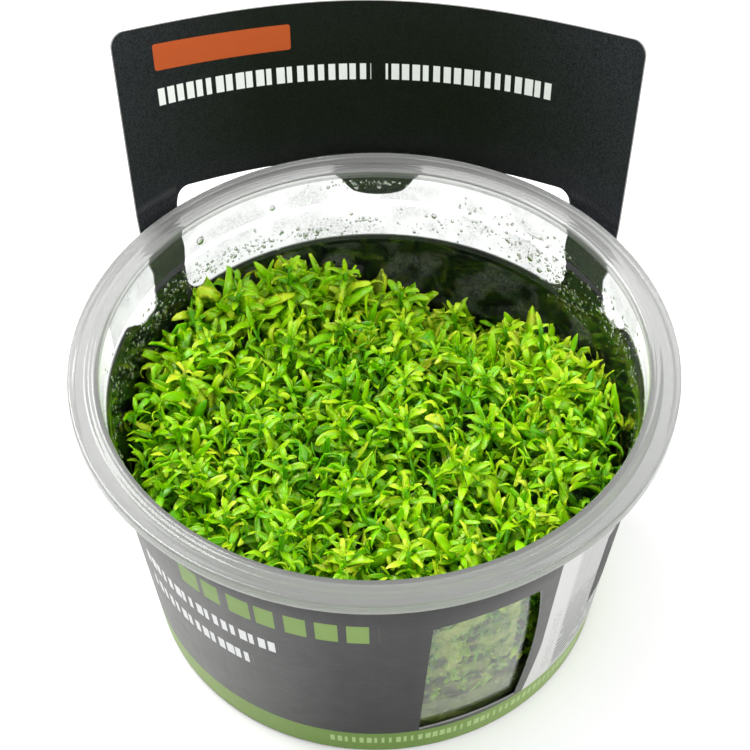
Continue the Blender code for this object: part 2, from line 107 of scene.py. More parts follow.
def mesh_piece(name, verts, faces, material, smooth=True):
    """A new mesh object in the scene with one material."""
    mesh = bpy.data.meshes.new(name)
    mesh.from_pydata(verts, [], faces)
    mesh.materials.append(material)
    if smooth:
        mesh.shade_smooth()
    thing = bpy.data.objects.new(name, mesh)
    bpy.context.scene.collection.objects.link(thing)
    return thing


def turned_piece(name, profile, steps, material, sharp_angle):
    """Spin a profile that starts and ends on the axis into a closed piece."""
    ring = profile[1:-1]
    turns = [tau * k / steps for k in range(steps)]
    verts = [(0.0, 0.0, profile[0][1]), (0.0, 0.0, profile[-1][1])]
    verts += [(r * cos(a), r * sin(a), z) for r, z in ring for a in turns]
    faces = []
    last = 2 + (len(ring) - 1) * steps
    for k in range(steps):
        n = (k + 1) % steps
        faces.append((0, 2 + n, 2 + k))
        faces.append((1, last + k, last + n))
        for row in range(len(ring) - 1):
            low, high = 2 + row * steps, 2 + (row + 1) * steps
            faces.append((low + k, low + n, high + n, high + k))
    piece = mesh_piece(name, verts, faces, material)
    piece.data.set_sharp_from_angle(angle=sharp_angle)
    return piece


def tub_profile():
    """From the middle of the underside out, up round the lip, and down inside to the floor."""
    foot = arc_points((0.0391, 0.0015), 0.0015, radians(-90), radians(-4), 8)
    outside = [(wall_outer_radius(z), z) for z in (FLARE_START, 0.0478, 0.0488, 0.0495)]
    outside += [(COLLAR_RADIUS + WALL_THICKNESS + further, z) for further, z in COLLAR_OUTSIDE]
    outside += [*UNDER_FLANGE, (RIM_RADIUS, 0.0557)]
    lip = arc_points((RIM_RADIUS - LIP_RADIUS, TUB_HEIGHT - LIP_RADIUS), LIP_RADIUS, 0.0, pi / 2, 5)
    ridges = [(radius, TUB_HEIGHT - RIDGE_SHARE * depth) for radius, depth in RIDGES]
    inside = [(COLLAR_RADIUS + further, z) for further, z in COLLAR_INSIDE]
    heights = (0.0495, 0.0488, 0.0478, FLARE_START, 0.040, 0.030, 0.020, 0.010, 0.0026)
    inside += [(wall_inner_radius(z), z) for z in heights]
    inside += [(0.0397, 0.0013), (0.0389, 0.0008), (0.0380, FLOOR_THICKNESS), (0.0, FLOOR_THICKNESS)]
    return [(0.0, 0.0)] + foot + outside + lip + ridges + inside


class Look:
    """Short ways to add and join nodes in one material."""

    def __init__(self, name):
        self.material = bpy.data.materials.new(name)
        self.material.use_nodes = True
        self.tree = self.material.node_tree
        self.shader = self.tree.nodes["Principled BSDF"]
        self.place = self.add("ShaderNodeTexCoord").outputs["Object"]

    def add(self, kind, inputs=(), **settings):
        """A new node with its settings and its pairs of input and value."""
        node = self.tree.nodes.new(kind)
        for label, value in settings.items():
            setattr(node, label, value)
        for label, value in inputs:
            self.put(value, node.inputs[label])
        return node

    def put(self, value, socket):
        """Give an input a number, a colour or the result of another node."""
        if isinstance(value, bpy.types.NodeSocket):
            self.tree.links.new(value, socket)
        else:
            socket.default_value = (*value, 1.0) if socket.type == "RGBA" else value

    def set(self, **values):
        for label, value in values.items():
            self.put(value, self.shader.inputs[label.replace("_", " ")])

    def maths(self, operation, *values):
        return self.add("ShaderNodeMath", enumerate(values), operation=operation).outputs[0]

    def times(self, first, *others):
        for other in others:
            first = self.maths("MULTIPLY", first, other)
        return first

    def attribute(self, name):
        return self.add("ShaderNodeAttribute", attribute_name=name).outputs["Fac"]

    def axis(self, label):
        """One coordinate in the piece's own space."""
        return self.add("ShaderNodeSeparateXYZ", [(0, self.place)]).outputs[label]

    def paint(self, under, over, mask):
        """Lay one colour over another where the mask is 1."""
        inputs = ((0, mask), (6, under), (7, over))
        return self.add("ShaderNodeMix", inputs, data_type="RGBA").outputs[2]

    def grain(self, scale, detail, place=None, **settings):
        """Fine uneven grain from 0 to 1, in the piece's own space unless a place is given."""
        inputs = (("Vector", self.place if place is None else place), ("Scale", scale), ("Detail", detail))
        return self.add("ShaderNodeTexNoise", inputs, **settings).outputs["Fac"]

    def bump(self, height, strength, distance):
        inputs = (("Height", height), ("Strength", strength), ("Distance", distance))
        self.set(Normal=self.add("ShaderNodeBump", inputs).outputs["Normal"])

    def spread(self, value, low, high, out_low=0.0, out_high=1.0):
        """Bring a value from one range into another and keep it inside."""
        labels = ("Value", "From Min", "From Max", "To Min", "To Max")
        inputs = zip(labels, (value, low, high, out_low, out_high))
        return self.add("ShaderNodeMapRange", inputs).outputs["Result"]

    def uneven(self, scale, detail, *limits):
        """Grain brought from its own range into another."""
        return self.spread(self.grain(scale, detail), *limits)

    def let_lamps_through(self, tint):
        """Lamps shine through the clear piece on what stands behind it."""
        gap = self.add("ShaderNodeBsdfTransparent", [("Color", tint)]).outputs[0]
        shadow = self.add("ShaderNodeLightPath").outputs["Is Shadow Ray"]
        mix = self.add("ShaderNodeMixShader", enumerate((shadow, self.shader.outputs[0], gap)))
        self.put(mix.outputs[0], self.tree.nodes["Material Output"].inputs["Surface"])


def mottled(name, roughness, under, over, scale, detail):
    """A matt material whose colour varies between two tints."""
    look = Look(name)
    look.set(Roughness=roughness, Base_Color=look.paint(under, over, look.grain(scale, detail)))
    return look.material


def clear_plastic():
    """Clear moulded plastic with a faint flow grain."""
    look = Look("clear_plastic")
    look.set(Base_Color=(0.82, 0.83, 0.825), IOR=PLASTIC_IOR, Transmission_Weight=1.0,
             Roughness=look.uneven(60.0, 3.0, 0.3, 0.75, 0.015, 0.05))
    look.bump(look.grain(90.0, 2.0), 0.05, 0.0004)
    look.let_lamps_through((0.90, 0.91, 0.905))
    return look.material


def flange_plastic():
    """The thick ridged flange scatters light and shows what stands behind it only softly."""
    look = Look("flange_plastic")
    # painted light: the flange's colour is painted darker at the front and paler towards the back
    painted_light_to_back = look.spread(look.axis("Y"), -RIM_RADIUS, RIM_RADIUS)
    look.set(IOR=PLASTIC_IOR, Transmission_Weight=0.64,
             Base_Color=look.paint((0.33, 0.334, 0.325), (0.47, 0.474, 0.465), painted_light_to_back),
             Roughness=look.uneven(60.0, 3.0, 0.3, 0.75, 0.09, 0.16))
    look.bump(look.grain(120.0, 2.0), 0.05, 0.0004)
    look.let_lamps_through((0.80, 0.81, 0.80))
    return look.material


tub = turned_piece("tub_moulding", tub_profile(), TUB_STEPS, clear_plastic(), radians(32))
tub.data.materials.append(flange_plastic())
for polygon in tub.data.polygons:
    middle = polygon.center
    if middle.z > FLANGE_START_HEIGHT and middle.xy.length > FLANGE_START_RADIUS:
        polygon.material_index = 1
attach(tub, "root")
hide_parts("tub")


# Card
# One die-cut blank of dark printed card: a band round the tub with a window, two legs, and a
# header folded up behind, with a slot for the flange and a round tongue that hangs into it.

CARD_THICKNESS = 0.00035
CARD_FOOT_RADIUS = 0.04103
CARD_TAPER = 0.10
CARD_BOTTOM = 0.0004
BAND_TOP = 0.0492
BAND_SIDE_SHIFT = 0.0005
PATTERN_RADIUS = 0.045
FOLD_HEIGHT = 0.0452
LIP_BEND_HEIGHT = 0.0553
LIP_BEND_RADIUS = 0.0514
CREASE_HEIGHT = 0.0577
NOTCH_FLOOR = 0.0454
NOTCH_WIDTH = 0.0102
LEG_LEFT = -0.0464
LEG_RIGHT = 0.0488
CREASE_LEFT = -0.0478
CREASE_RIGHT = 0.0507
HEADER_LEFT = -0.0474
HEADER_RIGHT = 0.0508
HEADER_HALF_WIDTH = 0.049
HEADER_HEIGHT = 0.0894
HEADER_RISE = 0.0057
EDGE_CURVE_POWER = 2.5
SLOT_HALF_WIDTH = 0.0388
SLOT_SHIFT = 0.0003
SLOT_BOTTOM = 0.0420
SLOT_TOP = 0.05535
SLOT_RISE = 0.0066
TONGUE_RADIUS = 0.0090
TONGUE_BOTTOM = 0.04755
TONGUE_SHIFT = 0.0009
WINDOW_BOTTOM = 0.0072
WINDOW_TOP = 0.0424
WINDOW_LEFT_ANGLE = radians(9.6)
WINDOW_RIGHT_ANGLE = radians(34.8)
WINDOW_LEFT_SLANT = radians(1.5)
WINDOW_RIGHT_BOW = 0.0016
WINDOW_TOP_BOW = 0.0009
WINDOW_BOTTOM_BOW = 0.0007
WINDOW_SIDE_STEPS = 12
# creases of the flat pattern that let it bend: a column's turn, the rows' heights and half length
PATTERN_COLUMN = radians(2.5)
PATTERN_ROWS = (0.010, 0.020, 0.030, 0.0395, FOLD_HEIGHT, 0.050, LIP_BEND_HEIGHT, CREASE_HEIGHT,
                0.0645, 0.072, 0.080)
PATTERN_REACH = 0.15


def band_point(u, v):
    """A point of the flat pattern wrapped round the tub; the band's sides stand a little to the right."""
    angle = u / PATTERN_RADIUS
    radius = CARD_FOOT_RADIUS + CARD_TAPER * v
    shift = BAND_SIDE_SHIFT * v / BAND_TOP * sin(angle) ** 2
    return Vector((radius * sin(angle) + shift, radius * cos(angle), v))


def header_point(u, v):
    """A point of the flat pattern on the header, a flatter sweep that leans back."""
    along = (v - CREASE_HEIGHT) / (HEADER_HEIGHT - CREASE_HEIGHT)
    sweep = 0.054 + 0.006 * along
    back = 0.0519 + 0.0016 * along
    angle = u / sweep
    return Vector((sweep * sin(angle), back - sweep * (1 - cos(angle)), v - 0.020 * u))


def leg_point(u, v):
    """A point of a leg: out from the wall to the flange's lip, then up to the crease."""
    fold = band_point(u, FOLD_HEIGHT)
    crease = header_point(u, CREASE_HEIGHT)
    bend = fold.lerp(crease, (LIP_BEND_HEIGHT - FOLD_HEIGHT) / (CREASE_HEIGHT - FOLD_HEIGHT))
    bend.xy *= max(LIP_BEND_RADIUS / bend.xy.length, 1.0)
    if v < LIP_BEND_HEIGHT:
        return fold.lerp(bend, (v - FOLD_HEIGHT) / (LIP_BEND_HEIGHT - FOLD_HEIGHT))
    return bend.lerp(crease, (v - LIP_BEND_HEIGHT) / (CREASE_HEIGHT - LIP_BEND_HEIGHT))


def card_point(u, v):
    """Fold the flat pattern: u runs round from the back, v runs up."""
    on_legs = LEG_LEFT - NOTCH_WIDTH / 3 < u < LEG_RIGHT + NOTCH_WIDTH / 3
    in_slot = abs(u - SLOT_SHIFT) < SLOT_HALF_WIDTH - 1e-6 and v > SLOT_BOTTOM + 0.004
    if v <= FOLD_HEIGHT or not on_legs:
        return band_point(u, v)
    if v >= CREASE_HEIGHT or in_slot:
        return header_point(u, v)
    return leg_point(u, v)


def rounded_outline(corners, steps=7):
    """Replace each (u, v, radius) corner of a closed outline by an arc of that radius."""
    outline = []
    for i, (u, v, radius) in enumerate(corners):
        corner = Vector((u, v))
        if radius == 0.0:
            outline.append(corner)
            continue
        before = (Vector(corners[i - 1][:2]) - corner).normalized()
        after = (Vector(corners[(i + 1) % len(corners)][:2]) - corner).normalized()
        half_angle = before.angle(after) / 2
        centre = corner + (before + after).normalized() * radius / sin(half_angle)
        first = corner + before * radius / tan(half_angle) - centre
        last = corner + after * radius / tan(half_angle) - centre
        outline += [centre + radius * first.slerp(last, k / steps) for k in range(steps + 1)]
    return outline


def climbing_edge(middle, rise, u):
    """Height of an edge that climbs from the middle of the header to its sides."""
    return middle + rise * abs(u / HEADER_HALF_WIDTH) ** EDGE_CURVE_POWER


def blank_outline():
    """Outer edge of the blank, from the band's foot up over the header."""
    half_turn = pi * PATTERN_RADIUS
    samples = [HEADER_LEFT + (HEADER_RIGHT - HEADER_LEFT) * k / 24 for k in range(25)]
    corners = [(-half_turn, CARD_BOTTOM, 0.0), (half_turn, CARD_BOTTOM, 0.0), (half_turn, BAND_TOP, 0.0)]
    corners += [
        (LEG_RIGHT + NOTCH_WIDTH, BAND_TOP, 0.003),
        (LEG_RIGHT + NOTCH_WIDTH / 2, NOTCH_FLOOR, 0.003),
        (LEG_RIGHT, NOTCH_FLOOR, 0.0015),
        (CREASE_RIGHT, CREASE_HEIGHT, 0.0),
    ]
    for i, u in enumerate(reversed(samples)):
        corners.append((u, climbing_edge(HEADER_HEIGHT, HEADER_RISE, u), 0.0021 if i in (0, 24) else 0.0))
    corners += [
        (CREASE_LEFT, CREASE_HEIGHT, 0.0),
        (LEG_LEFT, NOTCH_FLOOR, 0.0015),
        (LEG_LEFT - NOTCH_WIDTH / 2, NOTCH_FLOOR, 0.003),
        (LEG_LEFT - NOTCH_WIDTH, BAND_TOP, 0.003),
        (-half_turn, BAND_TOP, 0.0),
    ]
    return rounded_outline(corners)


def slot_outline():
    """The hole that the flange passes through, with the round tongue hanging into it."""
    centre = (TONGUE_SHIFT, TONGUE_BOTTOM + TONGUE_RADIUS)
    half_sweep = acos((centre[1] - SLOT_TOP) / TONGUE_RADIUS)
    down = -pi / 2
    tongue = arc_points(centre, TONGUE_RADIUS, down + half_sweep, down - half_sweep, 28)
    left, right = SLOT_SHIFT - SLOT_HALF_WIDTH, SLOT_SHIFT + SLOT_HALF_WIDTH
    corners = [
        (left, SLOT_BOTTOM, 0.004),
        (right, SLOT_BOTTOM, 0.004),
        (right, climbing_edge(SLOT_TOP, SLOT_RISE, right), 0.0022),
    ]
    samples = (0.034, 0.031, 0.028, 0.0245, 0.021, 0.018, 0.015)
    corners += [(u, climbing_edge(SLOT_TOP, SLOT_RISE, u), 0.0) for u in samples]
    corners += [(u, v, 0.002 if i in (0, 28) else 0.0) for i, (u, v) in enumerate(tongue)]
    corners += [(-u, climbing_edge(SLOT_TOP, SLOT_RISE, u), 0.0) for u in reversed(samples)]
    corners.append((left, climbing_edge(SLOT_TOP, SLOT_RISE, left), 0.0022))
    return rounded_outline(corners)


def bowed_side(start, end, bow):
    """Points of a window side from its first corner on, bowed out in the middle by (u, v)."""
    points = []
    for i in range(WINDOW_SIDE_STEPS):
        share = i / WINDOW_SIDE_STEPS
        swell = 4 * share * (1 - share)
        points.append(Vector(start).lerp(Vector(end), share) + swell * Vector(bow))
    return points


def window_outline():
    """The window in the front of the band: a slanted left side and three sides with a slight bow."""
    def corner(angle_from_front, v):
        return ((pi - angle_from_front) * PATTERN_RADIUS, v)
    low_right = corner(WINDOW_RIGHT_ANGLE, WINDOW_BOTTOM)
    low_left = corner(WINDOW_LEFT_ANGLE, WINDOW_BOTTOM)
    high_left = corner(WINDOW_LEFT_ANGLE + WINDOW_LEFT_SLANT, WINDOW_TOP)
    high_right = corner(WINDOW_RIGHT_ANGLE, WINDOW_TOP)
    outline = bowed_side(low_right, low_left, (0.0, WINDOW_BOTTOM_BOW))
    outline += [Vector(low_left)]
    outline += bowed_side(high_left, high_right, (0.0, WINDOW_TOP_BOW))
    outline += bowed_side(high_right, low_right, (-WINDOW_RIGHT_BOW, 0.0))
    return outline


def inside(point, outline):
    """Whether a point lies inside a closed outline."""
    found = False
    for a, b in zip(outline, outline[1:] + outline[:1]):
        if (a[1] > point[1]) != (b[1] > point[1]):
            if point[0] < (b[0] - a[0]) * (point[1] - a[1]) / (b[1] - a[1]) + a[0]:
                found = not found
    return found


def point_layer(thing, label, values):
    """Keep a number at every vertex for the material."""
    layer = thing.data.attributes.new(label, "FLOAT", "POINT")
    layer.data.foreach_set("value", np.array(values, dtype=np.float32))


def folded_card(inside_material, outside_material, edge_material):
    """Cut the flat pattern, fold it round the tub and keep the pattern's places for the print."""
    outer = blank_outline()
    holes = [slot_outline(), window_outline()]
    points = []
    edges = []
    for outline in [outer] + holes:
        first = len(points)
        points += [Vector(p) for p in outline]
        edges += [(first + i, first + (i + 1) % len(outline)) for i in range(len(outline))]
    top = HEADER_HEIGHT + 2 * HEADER_RISE
    columns = [(i - 72) * PATTERN_COLUMN * PATTERN_RADIUS for i in range(1, 144)]
    lines = [((u, CARD_BOTTOM), (u, top)) for u in columns]
    lines += [((-PATTERN_REACH, v), (PATTERN_REACH, v)) for v in PATTERN_ROWS]
    for start, end in lines:
        edges.append((len(points), len(points) + 1))
        points += [Vector(start), Vector(end)]
    verts, _, faces, *_ = delaunay_2d_cdt(points, edges, [], 0, 1e-7)
    kept = []
    for face in faces:
        middle = sum((verts[i] for i in face), Vector((0, 0))) / len(face)
        if inside(middle, outer) and not any(inside(middle, hole) for hole in holes):
            kept.append(tuple(face))
    used = sorted({i for face in kept for i in face})
    seat = {old: new for new, old in enumerate(used)}
    card = mesh_piece("printed_sleeve", [card_point(*verts[i]) for i in used],
                      [tuple(seat[i] for i in face) for face in kept], inside_material, smooth=False)
    point_layer(card, "pattern_u", [verts[i].x for i in used])
    point_layer(card, "pattern_v", [verts[i].y for i in used])
    from_front = card.data.attributes.new("from_front", "FLOAT", "CORNER")
    for polygon in card.data.polygons:
        middle = sum(verts[used[i]].x for i in polygon.vertices) / len(polygon.vertices)
        side = copysign(1.0, middle)
        for loop in polygon.loop_indices:
            u = verts[used[card.data.loops[loop].vertex_index]].x
            from_front.data[loop].value = side * pi * PATTERN_RADIUS - u
    card.data.materials.append(outside_material)
    card.data.materials.append(edge_material)
    board = card.modifiers.new("board", "SOLIDIFY")
    board.thickness = CARD_THICKNESS
    board.offset = 0.0
    board.material_offset = 1
    board.material_offset_rim = 2
    return card


def arc(degrees):
    """Length round the band of an angle from the front, positive to the right."""
    return radians(degrees) * PATTERN_RADIUS


# Print: heights on the flat pattern, and places round the band or across the header.
INK_EDGE = 0.00004
OUTSIDE_COAT = 0.18
GREEN_TOP = 0.0068
PANEL_LEFT = arc(39.7)
PANEL_RIGHT = arc(104.0)
PANEL_BOTTOM = 0.0063
PANEL_BEND_HEIGHT = 0.022
PANEL_BEND = arc(2.9)
LINES_BOTTOM = 0.0090
LINES_TOP = 0.0300
LINE_PITCH = 0.00138
LINE_SHARE = 0.42
# tint, left and right angle, bottom and top, pitch in degrees, narrowest and widest share
BLOCK_ROWS = (
    ((0.150, 0.250, 0.045), -44.0, 0.4, 0.0396, 0.0450, 6.34, 0.66, 0.84),
    ((0.60, 0.61, 0.61), -60.0, -21.0, 0.0313, 0.0345, 2.3, 0.45, 0.88),
    ((0.60, 0.61, 0.61), -60.0, -27.8, 0.0238, 0.0270, 2.3, 0.45, 0.88),
    ((0.30, 0.43, 0.16), -11.4, 60.0, 0.0032, 0.0052, 1.75, 0.30, 0.80),
)
RUB_HEIGHT = 0.0588
TAG_LEFT = -0.0396
TAG_RIGHT = -0.0142
TAG_MIDDLE_AT_LEFT = 0.0866
TAG_SLOPE = -0.138
TAG_SAG = 3.8
TAG_HALF_HEIGHT = 0.0026
TAG_CORNER = 0.0005
ROW_BOTTOM = 0.0730
ROW_HEIGHT = 0.0034
ROW_RISE = 0.00615
ROW_PITCH = 0.00188


class CardPrint(Look):
    """Matt printed board, with ways to lay blocks of ink by their place on the flat pattern."""

    def __init__(self, name, coat):
        super().__init__(name)
        self.u = self.attribute("pattern_u")
        self.v = self.attribute("pattern_v")
        self.round_band = self.attribute("from_front")
        self.set(Specular_IOR_Level=0.18, Coat_Weight=coat, Coat_Roughness=0.28,
                 Roughness=self.uneven(300.0, 2.0, 0.3, 0.7, 0.42, 0.5))
        self.bump(self.grain(1400.0, 3.0), 0.25, 0.0002)

    def block(self, across, left, right, bottom, top):
        """1 inside an upright block, with a slightly soft edge."""
        sides = ((across, left), (right, across), (self.v, bottom), (top, self.v))
        depths = [self.maths("SUBTRACT", *side) for side in sides]
        return self.times(*(self.spread(depth, -INK_EDGE, INK_EDGE) for depth in depths))

    def rounded_block(self, left, right, middle_height, half_height, radius):
        """A block with rounded corners whose middle line may slope."""
        squares = []
        spans = ((self.u, (left + right) / 2, (right - left) / 2), (self.v, middle_height, half_height))
        for place, middle, half in spans:
            past = self.maths("ABSOLUTE", self.maths("SUBTRACT", place, middle))
            past = self.maths("MAXIMUM", self.maths("SUBTRACT", past, half - radius), 0.0)
            squares.append(self.times(past, past))
        return self.maths("LESS_THAN", self.maths("ADD", *squares), radius * radius)

    def plain_blocks(self, across, start, pitch, narrow, wide, seed):
        """A row of upright blocks of uneven width, as a mask."""
        place = self.maths("DIVIDE", self.maths("SUBTRACT", across, start), pitch)
        number = self.maths("ADD", self.maths("FLOOR", place), seed)
        chance = self.add("ShaderNodeTexWhiteNoise", [("W", number)], noise_dimensions="1D")
        share = self.spread(chance.outputs["Value"], 0.0, 1.0, narrow, wide)
        return self.maths("LESS_THAN", self.maths("FRACT", place), share)


def thin_lines(look):
    """Broken thin lines, one above the other, as a mask."""
    line = look.maths("DIVIDE", look.maths("SUBTRACT", look.v, LINES_BOTTOM), LINE_PITCH)
    along = (look.times(look.round_band, 420.0), look.times(look.maths("FLOOR", line), 3.7))
    place = look.add("ShaderNodeCombineXYZ", enumerate(along)).outputs[0]
    breaks = look.grain(1.0, 2.0, place, noise_dimensions="2D")
    return look.times(look.maths("LESS_THAN", look.maths("FRACT", line), LINE_SHARE),
                      look.spread(breaks, 0.36, 0.42),
                      look.spread(look.v, 0.014, LINES_TOP, 1.0, 0.6),
                      look.block(look.round_band, arc(46.2), arc(66.0), LINES_BOTTOM, LINES_TOP))


def printed_outside():
    """Outer side: a charcoal band with a green foot, rows of plain blocks and a pale panel."""
    look = CardPrint("card_outside", OUTSIDE_COAT)
    v, round_band = look.v, look.round_band
    black = look.paint((0.0035, 0.0045, 0.0040), (0.0060, 0.0075, 0.0065), look.grain(900.0, 2.0))
    # painted sheen pales the charcoal towards the sides of the front; towards the foot it is painted
    # darker, a painted reflection of the shaded floor there
    turned = look.maths("ABSOLUTE", round_band)
    sheen_to_side = look.times(look.spread(turned, arc(8.0), arc(46.0)),
                         look.spread(turned, arc(80.0), arc(120.0), 1.0, 0.0))
    charcoal = look.paint((0.005, 0.005, 0.0055), (0.018, 0.018, 0.019), look.spread(v, 0.006, 0.040))
    charcoal = look.paint(charcoal, (0.096, 0.097, 0.093), sheen_to_side)
    colour = look.paint(black, charcoal, look.spread(v, 0.0440, 0.0500, 1.0, 0.0))
    # pale panel right of the window: a plain strip with a row of specks, thin lines, then a black bar
    below = look.maths("MAXIMUM", look.maths("SUBTRACT", PANEL_BEND_HEIGHT, v), 0.0)
    bend = look.times(look.maths("POWER", look.maths("DIVIDE", below, 0.015), 1.5), PANEL_BEND)
    panel = look.block(round_band, look.maths("SUBTRACT", PANEL_LEFT, bend), PANEL_RIGHT, PANEL_BOTTOM,
                       BAND_TOP)
    # painted shade: past a narrow strip beside the window the panel is painted darker
    shade_past_strip = look.spread(round_band, arc(45.0), arc(46.6))
    sheet = look.paint((0.50, 0.50, 0.49), (0.37, 0.373, 0.368), shade_past_strip)
    sheet = look.paint(sheet, (0.10, 0.102, 0.102), thin_lines(look))
    specks = look.times(look.uneven(2600.0, 2.0, 0.52, 0.60, 0.0, 0.7),
                        look.block(round_band, arc(42.0), arc(44.4), 0.0100, 0.0290))
    sheet = look.paint(sheet, (0.26, 0.265, 0.265), specks)
    colour = look.paint(colour, sheet, panel)
    bar = look.block(round_band, arc(57.5), arc(76.0), 0.0180, 0.0385)
    colour = look.paint(colour, (0.003, 0.003, 0.003), bar)
    # green foot all round, painted paler towards the sides as painted sheen, then the rows of plain blocks
    green = look.paint((0.100, 0.190, 0.018), (0.190, 0.285, 0.065), sheen_to_side)
    colour = look.paint(colour, green, look.block(round_band, arc(-181.0), arc(181.0), 0.0, GREEN_TOP))
    for seed, (tint, left, right, bottom, top, pitch, narrow, wide) in enumerate(BLOCK_ROWS):
        blocks = look.times(
            look.plain_blocks(round_band, arc(left), arc(pitch), narrow, wide, 17.0 + 40 * seed),
            look.block(round_band, arc(left), arc(right), bottom, top))
        colour = look.paint(colour, tint, blocks)
    coat = look.times(look.maths("SUBTRACT", 1.0, bar), OUTSIDE_COAT)
    look.set(Base_Color=colour, Coat_Weight=coat)
    return look.material


def printed_inside():
    """Inner side: plain black board, and on the header an orange tag over a row of white blocks."""
    look = CardPrint("card_inside", 0.0)
    u, v = look.u, look.v
    fine = look.uneven(3000.0, 1.0, 0.42, 0.58)
    black = look.paint((0.0024, 0.0036, 0.0028), (0.0062, 0.0086, 0.0066), fine)
    pale = look.paint((0.0085, 0.0100, 0.0125), (0.0240, 0.0265, 0.0320), fine)
    # painted sheen: the black board is painted paler towards the header's sides
    sheen_at_header_sides = look.times(look.spread(look.maths("ABSOLUTE", u), 0.020, 0.048),
                              look.spread(v, 0.050, 0.060))
    colour = look.paint(black, pale, sheen_at_header_sides)
    # the rubbed crease beside the slot: a smooth streak on the left, a speckled one on the right
    from_crease = look.maths("ABSOLUTE", look.maths("SUBTRACT", v, RUB_HEIGHT))
    speckled = look.times(look.uneven(2400.0, 2.0, 0.40, 0.60, 0.1, 1.0),
                          look.block(u, 0.0391, 0.052, 0.055, 0.062))
    worn = look.maths("MAXIMUM", look.block(u, -0.052, -0.0385, 0.055, 0.062), speckled)
    worn = look.times(worn, look.spread(from_crease, 0.0, 0.0012, 0.6, 0.0))
    colour = look.paint(colour, (0.055, 0.056, 0.058), worn)
    # the tag slopes and sags a little, the row of blocks under it bends with the header
    from_left = look.maths("SUBTRACT", u, TAG_LEFT)
    sag = look.times(from_left, look.maths("SUBTRACT", u, TAG_RIGHT), TAG_SAG)
    slope = look.maths("ADD", look.times(from_left, TAG_SLOPE), TAG_MIDDLE_AT_LEFT)
    middle = look.maths("ADD", slope, sag)
    tag = look.rounded_block(TAG_LEFT, TAG_RIGHT, middle, TAG_HALF_HEIGHT, TAG_CORNER)
    colour = look.paint(colour, (0.46, 0.083, 0.020), tag)
    bend = look.times(u, u, ROW_RISE / HEADER_HALF_WIDTH ** 2)
    low, high = (look.maths("ADD", bend, edge) for edge in (ROW_BOTTOM, ROW_BOTTOM + ROW_HEIGHT))
    blocks = look.plain_blocks(u, TAG_LEFT, ROW_PITCH, 0.50, 0.86, 7.0)
    for left, right in ((TAG_LEFT, 0.0000), (0.0026, 0.0334)):
        group = look.times(blocks, look.block(u, left, right, low, high))
        colour = look.paint(colour, (0.84, 0.85, 0.85), group)
    look.set(Base_Color=colour)
    return look.material


# the cut edge shows the pale fibres of the board
cut_edge = mottled("card_cut_edge", 0.8, (0.30, 0.30, 0.29), (0.16, 0.165, 0.16), 2500.0, 3.0)
card = folded_card(printed_inside(), printed_outside(), cut_edge)
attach(card, "root")
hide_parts("label_card")


# Jelly
# A clear set jelly in the bottom of the tub that the young plants root in. It creeps up the
# wall at its edge, and thin pale roots curl through it.

JELLY_HEIGHT = 0.0140
JELLY_GAP = 0.0003
JELLY_CREEP = 0.0008
# steps of the surface from the wall inward and down
JELLY_EDGE = ((0.0, 0.0), (0.0004, 0.0003), (0.0012, 0.0006), (0.0026, JELLY_CREEP))


def jelly_profile():
    """From the middle of the underside out, up along the wall and back over the surface."""
    edge = wall_inner_radius(JELLY_HEIGHT) - JELLY_GAP
    floor = FLOOR_THICKNESS + JELLY_GAP
    points = [(0.0, floor), (0.0376, floor), (0.0386, 0.0011), (0.0394, 0.0016), (0.0399, 0.0028)]
    points += [(wall_inner_radius(z) - JELLY_GAP, z) for z in (0.006, 0.010)]
    points += [(edge - inward, JELLY_HEIGHT - down) for inward, down in JELLY_EDGE]
    return points + [(0.020, JELLY_HEIGHT - JELLY_CREEP), (0.0, JELLY_HEIGHT - JELLY_CREEP)]


def clear_jelly():
    """Slightly cloudy, pale yellowish jelly."""
    look = Look("clear_jelly")
    look.set(IOR=1.34, Transmission_Weight=0.40,
             Base_Color=look.paint((0.09, 0.13, 0.035), (0.22, 0.28, 0.09), look.grain(160.0, 4.0)),
             Roughness=look.uneven(240.0, 3.0, 0.3, 0.7, 0.1, 0.35))
    look.bump(look.grain(140.0, 3.0), 0.4, 0.0008)
    look.let_lamps_through((0.8, 0.85, 0.65))
    return look.material


jelly = turned_piece("jelly", jelly_profile(), 96, clear_jelly(), radians(40))
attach(jelly, "root")
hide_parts("growing_medium")


# Plants
# Hundreds of thin stems stand close together, each with pairs of small glossy leaves set
# crosswise. The leaf tips make a level bright canopy that falls away at the back right.

CANOPY_HEIGHT = 0.0425
CANOPY_TURN = radians(25.0)
CANOPY_FALL = 0.0145
LEAF_PLACES = (0.0, 0.12, 0.28, 0.46, 0.64, 0.80, 0.93, 1.0)
LEAF_STATIONS = len(LEAF_PLACES)
LEAF_ROWS = 5
WALL_ROOM = 0.00045


def canopy_height(x, y):
    """Height of the leaf tips: level in front, falling away at the back on the right."""
    along = x * sin(CANOPY_TURN) + y * cos(CANOPY_TURN)
    across = x * cos(CANOPY_TURN) - y * sin(CANOPY_TURN)
    reach = np.clip((along - 0.013) / 0.025, 0.0, 1.0)
    fall = reach * reach * (3 - 2 * reach)
    return CANOPY_HEIGHT - CANOPY_FALL * fall * np.exp(-(across / 0.024) ** 2)


